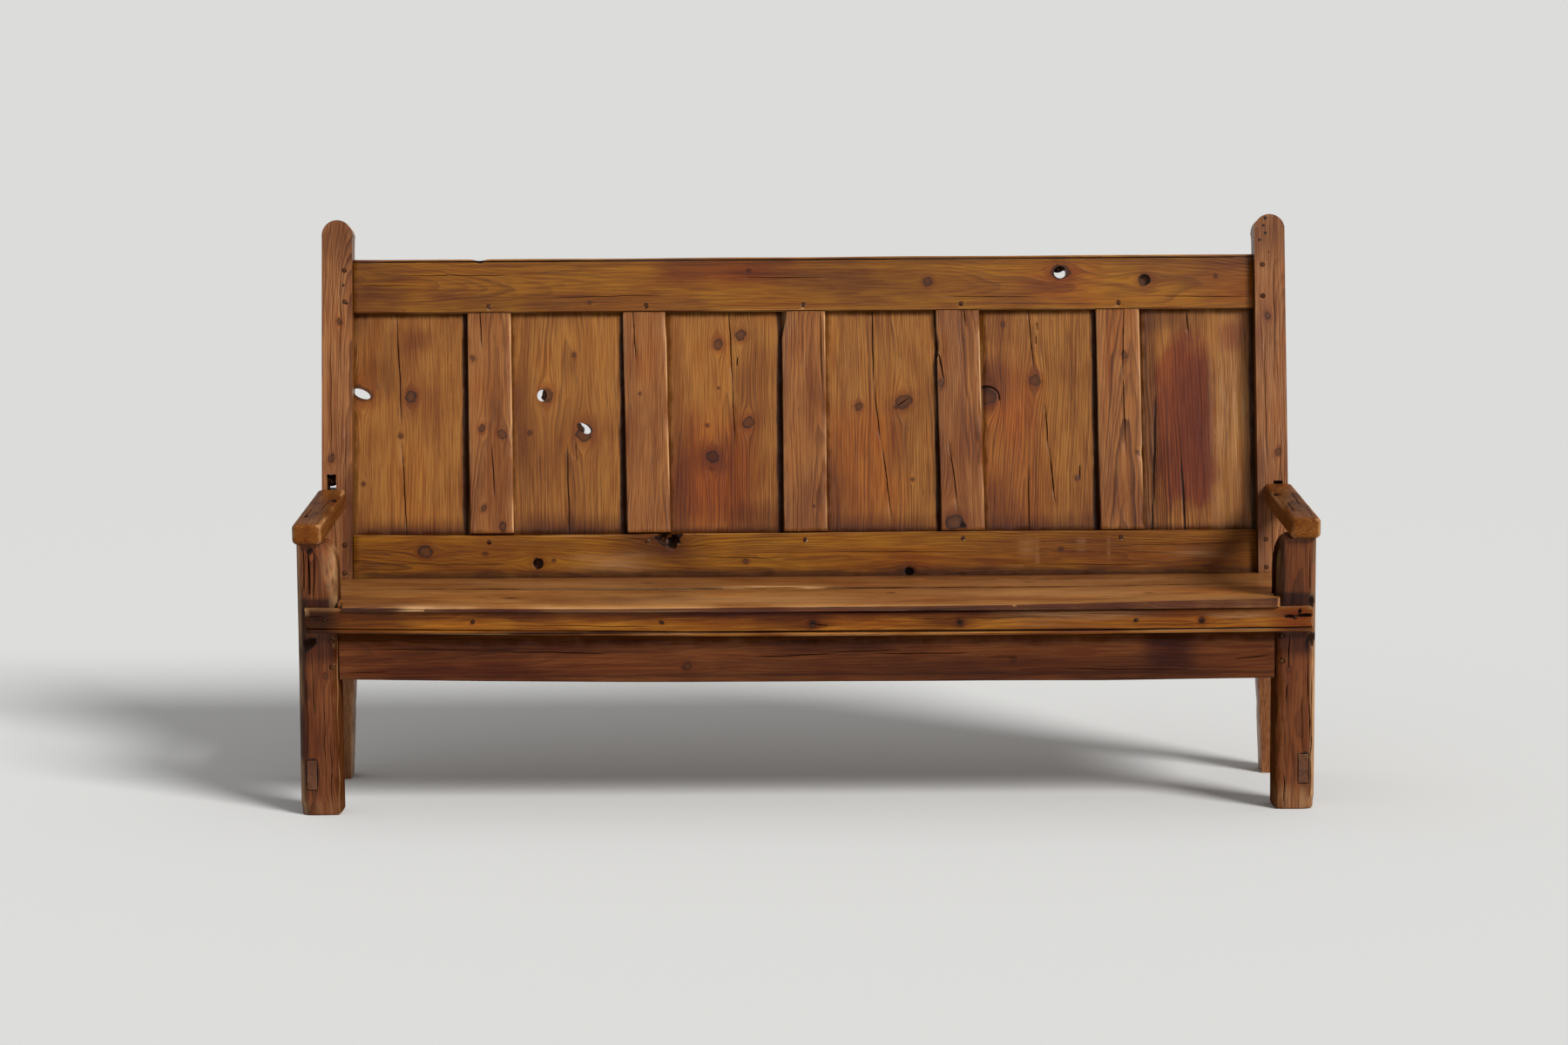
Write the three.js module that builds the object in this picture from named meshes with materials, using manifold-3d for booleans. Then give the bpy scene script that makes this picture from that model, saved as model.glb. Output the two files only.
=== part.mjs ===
// Old pine settle bench with a leaning, panelled back and open arms.
//
// Four posts carry everything. Rails are tenoned into them and held by wooden pegs, the back is a
// frame of two rails and five muntins with six loose panels in its grooves, and the seat is two
// boards on an apron, side rails, a rear rail and three bearers.
//
// Lengths are millimetres. X runs along the bench, Y from front to back and Z up. The bench is laid
// out with Y zero at the front faces of the front posts, and moved at the end so that its origin is
// under the middle of its outer box. The back is laid out in a leaning frame of its own: X along the
// bench, Y into the thickness from the rear posts' front faces, and Z up the slope from the bend.
import * as THREE from "three";
import { mergeVertices } from "three/addons/utils/BufferGeometryUtils.js";
import Module from "manifold-3d";

// Overall sizes
const backWidth = 1977; // clear width between the rear posts
const bendHeight = 447; // level where the rear posts begin to lean
const postTopHeight = 1219;
const seatDepth = 412; // from the front posts' front faces to the rear posts' front faces
const leanDegrees = 10;
const gap = 0.4; // running clearance of every joint

// Rear posts
const rearPostWidth = 67;
const rearPostDepth = 70;
const rearFootTaper = 10; // the foot is cut in on its inner side
const rearFootTaperHeight = 220;

// Front posts
const frontPostWidth = 85.5;
const frontPostDepth = 80;
const frontPostStep = 14; // their inner faces stand this much nearer the middle than the rear ones
const outerArrisRadius = 14;
const innerArrisRadius = 4;
const shoulderWidth = 25; // round shoulder at the inner top corner
const shoulderHeight = 62;
const chamfers = {
  left: { top: 42, bottom: 17 },
  right: { top: 17, bottom: 4 },
};
const chamferDepthShare = 0.8; // of its width, cut into the inner face

// Arms
const armWidth = 64;
const armThickness = 45;
const armOverhang = 18; // in front of the front posts
const armProud = 6; // beyond the front posts' outer faces
const armFrontHeight = 572; // underside at the front faces of the posts
const armSlopeDegrees = 2.4;
const armEdgeRadius = 10;
const armTenonWidth = 18;
const armTenonSet = 5; // from the arm's faces to its tenon
const armTenonSetback = 2; // the through tenon stops this far inside the post's back
const openMortise = { left: 32, right: 6 }; // the mortise left open above the arm's top
const postTenonWidth = 28;
const postTenonDepth = 32;
const postTenonLength = 27;

// Frame of the back
const railSet = 20; // rails' faces behind the posts' front faces
const railThickness = 32;
const topRailWidth = 119;
const postHead = 85; // the rear posts stand this much above the top rail
const lowRailWidth = 105;
const lowRailTop = 93; // up the slope from the bend
const railTenonLength = 45;
const railTenonThickness = 14;
const railTenonSet = 9; // from the rail's face to the tenon's
const tenonHaunch = 12; // from the rail's edges to the tenon's
const muntinCount = 5;
const muntinWidth = 96;
const muntinSet = 2; // behind the rails' faces
const muntinTenonWidth = 68;
const muntinTenonLength = 38;
const muntinShrinkage = 2; // open shoulder over the low rail
const panelSet = 17; // behind the rails' faces
const panelThickness = 10;
const grooveDepth = 10;
const panelPlay = 1; // in the bottom of every groove

// Seat
const seatFrontHeight = 451; // top of the boards at their ends
const seatBackHeight = 443;
const seatFrontSag = 10; // how far the middle has sunk
const seatBackSag = 2;
const seatThickness = 22;
const seatLip = 30; // overhang in front of the posts
const lipSetbackLeft = 11.5; // the lip stops this far short of the left post
const lipOverlapRight = 7.5; // and laps this far over the right one
const seatJointShare = 0.522; // of the depth from the posts' faces to the back rail
const seatSideSet = 4; // board ends inside the rear posts' outer faces

// Beaded rail nailed across the front
const beadRailHeight = 52;
const beadRailThickness = 22;
const beadRailMiddle = 375; // lower edge at mid length
const beadRailRiseLeft = 12; // ends above the middle
const beadRailRiseRight = 3;
const beadRailEndLeft = 18; // short of the post's outer face
const beadRailEndRight = 11;
const beadRadius = 4.5;
const quirkWidth = 2.4;
const quirkDepth = 3;

// Apron, and the rails and bearers under the seat
const apronSet = 6; // behind the posts' front faces
const apronThickness = 28;
const apronMiddle = 274; // lower edge at mid length
const seatRailWidth = 92;
const seatRailThickness = 26;
const sideRailSet = 10; // inside the rear posts' outer faces
const rearRailSet = 2.5; // behind the rear posts' front faces
const seatTenonLength = 34;
const seatTenonThickness = 12;
const seatTenonHaunch = 16;
const bearerCount = 3;
const bearerWidth = 45;
const bearerHeight = 40;
const bearerTenonWidth = 20;
const bearerTenonLength = 10;

// Pegs, nails and plugs
const pegRadius = 4.5;
const pegAboveJoint = 13; // in the top rail, over its lower edge
const pegBelowJoint = 16; // in the low rail, under its upper edge
const postPegInset = 17; // from the post's inner face
const postPegShares = [0.2, 0.78]; // of the rail's width
const apronPegInset = 14;
const apronPegShares = [0.15, 0.67]; // of the apron's tenon
const apronPegLength = 50;
const nailRadius = 3;
const nailReach = 26; // into the post or the apron, from the posts' front faces
const nailShares = [-0.96, -0.665, -0.29, 0.65, 0.965]; // of the half length of the beaded rail
const nailHeightShare = 0.56;
const plugWidth = 22;
const plugHeight = 62;
const plugDepth = 30;
const plugInset = 50; // from the post's inner face
const plugFloor = 55;

// Knots that have fallen out, each by its place as shares of its piece's clear width and height and
// by its size as shares of the usual knot's
const knotRadius = 12;
const knotPocket = 20; // depth of a hole that doesn't go through
const shallowPocket = 12;
const panelKnots = {
  1: [{ acrossShare: 0.066, upShare: 0.64, longShare: 1.75, shortShare: 0.75, tiltDegrees: 25 }],
  2: [
    { acrossShare: 0.27, upShare: 0.627, longShare: 0.92, shortShare: 1.08, tiltDegrees: 0 },
    { acrossShare: 0.637, upShare: 0.477, longShare: 1.42, shortShare: 0.75, tiltDegrees: 35 },
  ],
};
const topRailKnots = [
  { acrossShare: 0.785, upShare: 0.68, sizeShare: 1.12, depth: railThickness },
  { acrossShare: 0.879, upShare: 0.53, sizeShare: 1, depth: shallowPocket },
];
const lowRailKnots = [
  { acrossShare: 0.2046, upShare: 0.376, sizeShare: 0.92, depth: knotPocket },
  { acrossShare: 0.615, upShare: 0.162, sizeShare: 0.75, depth: knotPocket },
];
const brokenEdge = { acrossShare: 0.346, upShare: 0.95, sizeShare: 1.67, depthShare: 0.6 };

// Fineness
const roundSteps = 4; // per rounded corner
const headSteps = 12; // round the post's head
const pegSides = 12;
const knotSides = 14;
const bowSteps = 16; // along a bowed board
const overrun = 5; // how far a cutter passes the face that it opens

// Places worked out from the sizes
const sides = { left: -1, right: 1 };
const lean = THREE.MathUtils.degToRad(leanDegrees);
const armSlope = THREE.MathUtils.degToRad(armSlopeDegrees);
const quarterTurn = Math.PI / 2;
const backHalf = backWidth / 2;
const rearPostOuter = backHalf + rearPostWidth;
const rearPostThickness = rearPostDepth * Math.cos(lean); // square to the leaning faces
const rearPostSlope = (postTopHeight - bendHeight) / Math.cos(lean); // from the bend to the top
const frontPostInner = backHalf - frontPostStep;
const frontPostOuter = frontPostInner + frontPostWidth;
const armOuter = frontPostOuter + armProud;
const armCentre = armOuter - armWidth / 2;
const railBack = railSet + railThickness;
const topRailTop = rearPostSlope - postHead;
const topRailLow = topRailTop - topRailWidth;
const lowRailLow = lowRailTop - lowRailWidth;
const panelFront = railSet + panelSet;
const panelBack = panelFront + panelThickness;
const panelClear = (backWidth - muntinCount * muntinWidth) / (muntinCount + 1);
const panelPitch = panelClear + muntinWidth;
// The rear board butts against the low rail, whose lowest front edge stands nearest.
const seatBack = seatDepth + railSet * Math.cos(lean) + lowRailLow * Math.sin(lean) - gap;
const seatJoint = seatBack * seatJointShare;
const seatSide = rearPostOuter - seatSideSet;
const sideRailOuter = rearPostOuter - sideRailSet;
const apronBack = apronSet + apronThickness;
const rearRailFront = seatDepth + rearRailSet;
const beadRailLeft = beadRailEndLeft - frontPostOuter;
const beadRailRight = frontPostOuter - beadRailEndRight;

const xAxis = new THREE.Vector3(1, 0, 0);
const yAxis = new THREE.Vector3(0, 1, 0);
const zAxis = new THREE.Vector3(0, 0, 1);
const upright = new THREE.Matrix4();
const leaning = new THREE.Matrix4().makeRotationX(-lean).setPosition(0, seatDepth, bendHeight);
const armFrame = new THREE.Matrix4().makeRotationX(armSlope).setPosition(0, 0, armFrontHeight);

const wasm = await Module();
wasm.setup();

// A closed three.js geometry as a solid that can be joined and cut.
function solidOf(geometry, frame = upright) {
  const bare = new THREE.BufferGeometry();
  bare.setAttribute("position", geometry.getAttribute("position"));
  bare.setIndex(geometry.getIndex());
  bare.applyMatrix4(frame);
  const merged = mergeVertices(bare);
  return new wasm.Manifold(
    new wasm.Mesh({
      numProp: 3,
      vertProperties: merged.getAttribute("position").array,
      triVerts: new Uint32Array(merged.getIndex().array),
    }),
  );
}

// A solid back as a three.js geometry.
function geometryOf(solid) {
  const mesh = solid.getMesh();
  const geometry = new THREE.BufferGeometry();
  geometry.setAttribute("position", new THREE.BufferAttribute(mesh.vertProperties, mesh.numProp));
  geometry.setIndex(new THREE.BufferAttribute(mesh.triVerts, 1));
  geometry.computeVertexNormals();
  return geometry;
}

function middle([from, to]) {
  return (from + to) / 2;
}

function grown([from, to], by) {
  const outwards = Math.sign(to - from) * by;
  return [from - outwards, to + outwards];
}

// The two stations of a width that is centred on a place.
function about(centre, width) {
  return [centre - width / 2, centre + width / 2];
}

// A rectangular block between two stations on each axis, given in either order.
function block(x, y, z, frame = upright) {
  const size = [x, y, z].map(([from, to]) => Math.abs(to - from));
  const geometry = new THREE.BoxGeometry(...size);
  geometry.translate(middle(x), middle(y), middle(z));
  return solidOf(geometry, frame);
}

// A round rod along Y, at a place across X and Z.
function rod(x, z, radius, y, frame = upright, roundSides = pegSides) {
  const geometry = new THREE.CylinderGeometry(radius, radius, Math.abs(y[1] - y[0]), roundSides);
  geometry.translate(x, middle(y), z);
  return solidOf(geometry, frame);
}

// A board whose lower and upper faces follow two heights that change along it.
function slab(x, y, low, high, steps = 1) {
  const geometry = new THREE.BoxGeometry(x[1] - x[0], y[1] - y[0], 1, steps, 1, 1);
  geometry.translate(middle(x), middle(y), 1 / 2);
  const spots = geometry.getAttribute("position");
  for (let i = 0; i < spots.count; i += 1) {
    const across = spots.getX(i);
    const deep = spots.getY(i);
    spots.setZ(i, THREE.MathUtils.lerp(low(across, deep), high(across, deep), spots.getZ(i)));
  }
  return solidOf(geometry);
}

// An outline drawn in X and Z, run along Y, with its ends rounded by a bevel if one is given.
function alongY(outline, y, frame = upright, { bevel = 0, curveSegments = roundSteps } = {}) {
  const geometry = new THREE.ExtrudeGeometry(outline, {
    depth: y[1] - y[0] - 2 * bevel,
    curveSegments,
    bevelEnabled: bevel > 0,
    bevelThickness: bevel,
    bevelSize: bevel,
    bevelOffset: -bevel,
    bevelSegments: roundSteps,
  });
  const axes = new THREE.Matrix4().makeBasis(xAxis, zAxis, yAxis.clone().negate());
  axes.setPosition(0, y[1] - bevel, 0);
  return solidOf(geometry.applyMatrix4(axes), frame);
}

// A rectangle with a radius at each corner, listed round from its low left one.
function roundedRectangle([left, right], [low, high], [lowLeft, lowRight, highRight, highLeft]) {
  const outline = new THREE.Shape();
  outline.moveTo(left + lowLeft, low);
  outline.lineTo(right - lowRight, low);
  outline.absarc(right - lowRight, low + lowRight, lowRight, -quarterTurn, 0);
  outline.lineTo(right, high - highRight);
  outline.absarc(right - highRight, high - highRight, highRight, 0, quarterTurn);
  outline.lineTo(left + highLeft, high);
  outline.absarc(left + highLeft, high - highLeft, highLeft, quarterTurn, 2 * quarterTurn);
  outline.lineTo(left, low + lowLeft);
  outline.absarc(left + lowLeft, low + lowLeft, lowLeft, 2 * quarterTurn, 3 * quarterTurn);
  return outline;
}

// Half of all space as one large block: the side of three points that is away from a kept point.
function halfSpace(a, b, c, kept) {
  const reach = 4 * postTopHeight;
  const normal = b.clone().sub(a).cross(c.clone().sub(a)).normalize();
  if (normal.dot(kept.clone().sub(a)) > 0) {
    normal.negate();
  }
  const first = b.clone().sub(a).normalize();
  const second = normal.clone().cross(first);
  const axes = new THREE.Matrix4().makeBasis(first, second, normal);
  axes.setPosition(a.clone().addScaledVector(normal, reach / 2));
  return solidOf(new THREE.BoxGeometry(reach, reach, reach), axes);
}

// Height of a bowed edge over its middle, from how far its two ends stand above it.
function bowed(x, leftRise, rightRise) {
  const along = x / frontPostInner;
  return (along * (rightRise - leftRise) + along * along * (rightRise + leftRise)) / 2;
}

// The seat's top falls to the back and has sunk towards the middle of its length.
function seatTop(x, y) {
  const share = (y + seatLip) / (seatDepth + railSet + seatLip);
  const along = x / frontPostInner;
  const ends = THREE.MathUtils.lerp(seatFrontHeight, seatBackHeight, share);
  const sag = THREE.MathUtils.lerp(seatFrontSag, seatBackSag, share);
  return ends - sag * (1 - along * along);
}

function seatUnder(x, y) {
  return seatTop(x, y) - seatThickness;
}

function underSeat(x, y) {
  return seatUnder(x, y) - gap;
}

function beadRailFoot(x) {
  return beadRailMiddle + bowed(x, beadRailRiseLeft, beadRailRiseRight);
}

function apronFoot(x) {
  return apronMiddle + bowed(x, beadRailRiseLeft, beadRailRiseRight);
}

// Tenons of the rails under the seat, and where they lie in the thickness of their rails.
const seatTenonTop = underSeat(0, 0) - seatTenonHaunch;
const seatTenonHeights = [seatTenonTop - seatRailWidth + 2 * seatTenonHaunch, seatTenonTop];
const apronTenonHeights = [apronMiddle + beadRailRiseLeft + tenonHaunch, seatTenonTop];
const apronTenonDeep = about(apronSet + apronThickness / 2, seatTenonThickness);
const rearTenonDeep = about(rearRailFront + seatRailThickness / 2, seatTenonThickness);
const sideTenonAcross = about(sideRailOuter - seatRailThickness / 2, seatTenonThickness);
const railTenonDeep = [railSet + railTenonSet, railSet + railTenonSet + railTenonThickness];

// The places of the pegs, by the piece that they pass through.
const muntinPlaces = Array.from(
  { length: muntinCount },
  (_, i) => (i + 1) * panelPitch - backHalf - muntinWidth / 2,
);
const topRailPegHeights = postPegShares.map((share) => topRailLow + share * topRailWidth);
const lowRailPegHeights = postPegShares.map((share) => lowRailLow + share * lowRailWidth);
const apronPegHeights = apronPegShares.map((share) => THREE.MathUtils.lerp(...apronTenonHeights, share));

function nailPlaces() {
  const half = (beadRailRight - beadRailLeft) / 2;
  return nailShares.map((share) => {
    const x = middle([beadRailLeft, beadRailRight]) + share * half;
    return { x, z: beadRailFoot(x) + nailHeightShare * beadRailHeight };
  });
}

function nailHoles() {
  const deep = [-beadRailThickness - overrun, nailReach + gap];
  return nailPlaces().map(({ x, z }) => rod(x, z, nailRadius + gap, deep));
}

// Cuts and joins in turn, so that a piece reads as its blank and a list of what is taken off it.
function cut(blank, cutters) {
  return cutters.reduce((solid, cutter) => solid.subtract(cutter), blank);
}

function join(blank, additions) {
  return additions.reduce((solid, addition) => solid.add(addition), blank);
}

// The arm's tenon in the rear post, and the taller mortise that it passes through.
function armTenon(side, by = 0, open = 0) {
  const x = about(side * armCentre, armTenonWidth + 2 * by);
  const z = [armTenonSet - by, armThickness - armTenonSet + by];
  const y = [seatDepth - armTenonSet, seatDepth + 2 * rearPostDepth];
  return block(x, y, open > 0 ? [z[0], armThickness + open] : z, armFrame);
}

// The front post's stub tenon, upright in the arm's underside.
function postTenon(side, by = 0) {
  const x = about(side * armCentre, postTenonWidth + 2 * by);
  const y = about(frontPostDepth / 2, postTenonDepth + 2 * by);
  return block(x, y, [-armTenonSet, postTenonLength + by], armFrame);
}

function rearPost(sideName) {
  const side = sides[sideName];
  const across = [side * backHalf, side * rearPostOuter];
  const centre = middle(across);
  const radius = rearPostWidth / 2;

  const leg = new THREE.Shape();
  leg.moveTo(side * (backHalf + rearFootTaper), 0);
  leg.lineTo(across[1], 0);
  leg.lineTo(across[1], bendHeight);
  leg.lineTo(across[0], bendHeight);
  leg.lineTo(across[0], rearFootTaperHeight);

  const upper = new THREE.Shape();
  upper.moveTo(centre + radius, 0);
  upper.lineTo(centre + radius, rearPostSlope - radius);
  upper.absarc(centre, rearPostSlope - radius, radius, 0, 2 * quarterTurn);
  upper.lineTo(centre - radius, 0);

  const blank = join(alongY(leg, [seatDepth, seatDepth + rearPostDepth]), [
    alongY(upper, [0, rearPostThickness], leaning, { curveSegments: headSteps }),
  ]);
  const tenonX = [side * (backHalf - overrun), side * (backHalf + railTenonLength + gap)];
  const tenonY = grown(railTenonDeep, gap);
  const pegX = side * (backHalf + postPegInset);
  const pegY = [-overrun, railBack + gap];
  const seatTenonZ = grown(seatTenonHeights, gap);
  return cut(blank, [
    block(tenonX, tenonY, grown([topRailLow + tenonHaunch, topRailTop - tenonHaunch], gap), leaning),
    block(tenonX, tenonY, grown([lowRailLow + tenonHaunch, lowRailTop - tenonHaunch], gap), leaning),
    block(
      [side * (backHalf - overrun), side * (backHalf + grooveDepth)],
      grown([panelFront, panelBack], gap),
      [lowRailTop - grooveDepth, topRailLow + grooveDepth],
      leaning,
    ),
    ...[...topRailPegHeights, ...lowRailPegHeights].map((z) =>
      rod(pegX, z, pegRadius + gap, pegY, leaning),
    ),
    armTenon(side, gap, openMortise[sideName]),
    block(
      [side * (backHalf - overrun), side * (backHalf + seatTenonLength + gap)],
      grown(rearTenonDeep, gap),
      seatTenonZ,
    ),
    block(
      grown(sideTenonAcross, gap).map((x) => side * x),
      [seatDepth - overrun, seatDepth + seatTenonLength + gap],
      seatTenonZ,
    ),
  ]);
}

// The region over the round shoulder at the post's inner top corner.
function shoulderCutter(side, top) {
  const outline = new THREE.Shape();
  const start = top - shoulderHeight;
  const point = (across, z) => new THREE.Vector2(side * (frontPostInner + across), z);
  const points = [point(-overrun, top + shoulderHeight), point(-overrun, start)];
  for (let i = 0; i <= 2 * roundSteps; i += 1) {
    const angle = (i / (2 * roundSteps)) * quarterTurn;
    points.push(
      point(shoulderWidth * (1 - Math.cos(angle)), start + shoulderHeight * Math.sin(angle)),
    );
  }
  points.push(point(shoulderWidth, top + shoulderHeight));
  outline.setFromPoints(points);
  return alongY(outline, [-overrun, frontPostDepth + overrun]);
}

// The plane of the tapering chamfer on the front inner arris, widest under the arm.
function chamferCutter(side, { top, bottom }) {
  const corner = (across, y, z) => new THREE.Vector3(side * (frontPostInner + across), y, z);
  return halfSpace(
    corner(top, 0, armFrontHeight),
    corner(bottom, 0, bendHeight),
    corner(0, top * chamferDepthShare, armFrontHeight),
    corner(frontPostWidth / 2, frontPostDepth, bendHeight),
  );
}

function frontPost(sideName) {
  const side = sides[sideName];
  const inner = side * frontPostInner;
  const outer = side * frontPostOuter;
  const radii = [outerArrisRadius, innerArrisRadius, innerArrisRadius, innerArrisRadius];
  const section = roundedRectangle(
    [Math.min(inner, outer), Math.max(inner, outer)],
    [0, frontPostDepth],
    side < 0 ? radii : [radii[1], radii[0], radii[2], radii[3]],
  );
  const length = armFrontHeight + armThickness;
  const blank = solidOf(
    new THREE.ExtrudeGeometry(section, {
      depth: length,
      bevelEnabled: false,
      curveSegments: roundSteps,
    }),
  );
  const far = side * (armOuter + overrun);
  const near = side * (frontPostInner - overrun);
  const trimmed = cut(blank, [
    shoulderCutter(side, armFrontHeight),
    chamferCutter(side, chamfers[sideName]),
    block([near, far], [-frontPostDepth, 2 * frontPostDepth], [-gap, 2 * armThickness], armFrame),
  ]);
  const tenonEnd = side * (frontPostInner + seatTenonLength + gap);
  const plugX = [side * (frontPostInner + plugInset), side * (frontPostInner + plugInset + plugWidth)];
  return cut(join(trimmed, [postTenon(side)]), [
    block([near, tenonEnd], grown(apronTenonDeep, gap), grown(apronTenonHeights, gap)),
    block(
      grown(sideTenonAcross, gap).map((x) => side * x),
      [frontPostDepth - seatTenonLength - gap, frontPostDepth + overrun],
      grown(seatTenonHeights, gap),
    ),
    block(grown(plugX, gap), [-overrun, plugDepth + gap], grown([plugFloor, plugFloor + plugHeight], gap)),
    ...apronPegHeights.map((z) =>
      rod(side * (frontPostInner + apronPegInset), z, pegRadius + gap, [-overrun, apronPegLength + gap]),
    ),
    ...nailHoles(),
  ]);
}

function arm(sideName) {
  const side = sides[sideName];
  const radii = [armEdgeRadius, armEdgeRadius, armEdgeRadius, armEdgeRadius];
  const section = roundedRectangle(about(side * armCentre, armWidth), [0, armThickness], radii);
  const length = [-armOverhang, seatDepth + rearPostDepth];
  const reach = [side * (backHalf - overrun), side * (armOuter + overrun)];
  const face = block(reach, [-gap, 4 * rearPostDepth], [0, topRailTop], leaning);
  const back = block(
    reach,
    [rearPostThickness - armTenonSetback, 4 * rearPostDepth],
    [0, topRailTop],
    leaning,
  );
  const body = cut(alongY(section, length, armFrame, { bevel: armEdgeRadius / 2 }), [face]);
  const tenon = cut(armTenon(side), [back]);
  return cut(join(body, [tenon]), [postTenon(side, gap)]);
}

function knotPlace({ acrossShare, upShare }, x, z) {
  return [THREE.MathUtils.lerp(...x, acrossShare), THREE.MathUtils.lerp(...z, upShare)];
}

function knotBore(knot, x, z) {
  const [across, up] = knotPlace(knot, x, z);
  const radius = knot.sizeShare * knotRadius;
  return rod(across, up, radius, [railSet - overrun, railSet + knot.depth], upright, knotSides);
}

// A rail of the back, in the leaning frame, with its tenons but before its own cuts.
function backRail(low, high) {
  const x = [gap - backHalf, backHalf - gap];
  const body = block(x, [railSet, railBack], [low, high]);
  const tenon = block(
    grown([-backHalf, backHalf], railTenonLength),
    railTenonDeep,
    [low + tenonHaunch, high - tenonHaunch],
  );
  const pegs = postPegShares.flatMap((share) =>
    Object.values(sides).map((side) =>
      rod(
        side * (backHalf + postPegInset),
        low + share * (high - low),
        pegRadius + gap,
        [0, railBack + overrun],
      ),
    ),
  );
  return cut(join(body, [tenon]), pegs);
}

// The groove for the panels and the mortises for the muntins in one edge of a rail.
function edgeCuts(edge, inwards) {
  const x = [-backHalf, backHalf];
  const y = grown([panelFront, panelBack], gap);
  const groove = block(x, y, [edge - inwards * overrun, edge + inwards * grooveDepth]);
  const mortises = muntinPlaces.map((place) =>
    block(
      about(place, muntinTenonWidth + 2 * gap),
      y,
      [edge - inwards * overrun, edge + inwards * (muntinTenonLength + gap)],
    ),
  );
  return [groove, ...mortises];
}

function muntinPegHoles(height) {
  const deep = [railSet - overrun, railBack + overrun];
  return muntinPlaces.map((place) => rod(place, height, pegRadius + gap, deep));
}

function topRail() {
  return cut(backRail(topRailLow, topRailTop), [
    ...edgeCuts(topRailLow, 1),
    ...muntinPegHoles(topRailLow + pegAboveJoint),
    ...topRailKnots.map((knot) => knotBore(knot, [-backHalf, backHalf], [topRailLow, topRailTop])),
  ]);
}

function lowRail() {
  const x = [-backHalf, backHalf];
  const z = [lowRailLow, lowRailTop];
  const [across, up] = knotPlace(brokenEdge, x, z);
  const bite = new THREE.SphereGeometry(brokenEdge.sizeShare * knotRadius, knotSides, knotSides / 2);
  bite.scale(1, brokenEdge.depthShare, 1);
  bite.translate(across, railSet, up);
  return cut(backRail(lowRailLow, lowRailTop), [
    ...edgeCuts(lowRailTop, -1),
    ...muntinPegHoles(lowRailTop - pegBelowJoint),
    ...lowRailKnots.map((knot) => knotBore(knot, x, z)),
    solidOf(bite),
  ]);
}

function muntin(place) {
  const x = about(place, muntinWidth);
  const low = lowRailTop + muntinShrinkage;
  const high = topRailLow - gap;
  const groove = grown([panelFront, panelBack], gap);
  const body = block(x, [railSet + muntinSet, railBack], [low, high]);
  const grooves = x.map((edge) => block(about(edge, 2 * grooveDepth), groove, [0, topRailTop]));
  const tenon = block(
    about(place, muntinTenonWidth),
    [panelFront, panelBack],
    [lowRailTop - muntinTenonLength, topRailLow + muntinTenonLength],
  );
  const holes = [topRailLow + pegAboveJoint, lowRailTop - pegBelowJoint].map((z) =>
    rod(place, z, pegRadius + gap, [railSet, railBack]),
  );
  return cut(join(cut(body, grooves), [tenon]), holes);
}

function panel(number) {
  const left = (number - 1) * panelPitch - backHalf;
  const clearX = [left, left + panelClear];
  const clearZ = [lowRailTop, topRailLow];
  const hidden = grooveDepth - panelPlay;
  const blank = block(grown(clearX, hidden), [panelFront, panelBack], grown(clearZ, hidden));
  const holes = (panelKnots[number] ?? []).map((knot) => {
    const [across, up] = knotPlace(knot, clearX, clearZ);
    const depth = panelThickness + 2 * overrun;
    const radius = knot.shortShare * knotRadius;
    const bore = new THREE.CylinderGeometry(radius, radius, depth, knotSides);
    bore.scale(knot.longShare / knot.shortShare, 1, 1);
    bore.rotateY(THREE.MathUtils.degToRad(knot.tiltDegrees));
    bore.translate(across, middle([panelFront, panelBack]), up);
    return solidOf(bore);
  });
  return cut(blank, holes);
}

// Notches in the seat boards round the four posts.
function postNotches() {
  return Object.values(sides).flatMap((side) => {
    const far = side * (seatSide + overrun);
    const z = [apronMiddle, postTopHeight];
    return [
      block([side * (frontPostInner - gap), far], [-gap, frontPostDepth + gap], z),
      block([side * (backHalf - gap), far], [seatDepth - gap, seatDepth + rearPostDepth], z),
    ];
  });
}

function frontSeatBoard() {
  const blank = slab([-seatSide, seatSide], [-seatLip, seatJoint - gap / 2], seatUnder, seatTop, bowSteps);
  const far = seatSide + overrun;
  const front = [-seatLip - overrun, -gap / 2];
  const z = [apronMiddle, postTopHeight];
  const overRail = slab(
    [-far, far],
    [front[0], 0],
    apronFoot,
    (x) => beadRailFoot(x) + beadRailHeight + gap,
    bowSteps,
  );
  return cut(blank, [
    ...postNotches(),
    overRail,
    block([-far, lipSetbackLeft - frontPostInner], front, z),
    block([frontPostInner + lipOverlapRight, far], front, z),
  ]);
}

function rearSeatBoard() {
  const blank = slab([-seatSide, seatSide], [seatJoint + gap / 2, seatBack], seatUnder, seatTop, bowSteps);
  return cut(blank, postNotches());
}

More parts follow.
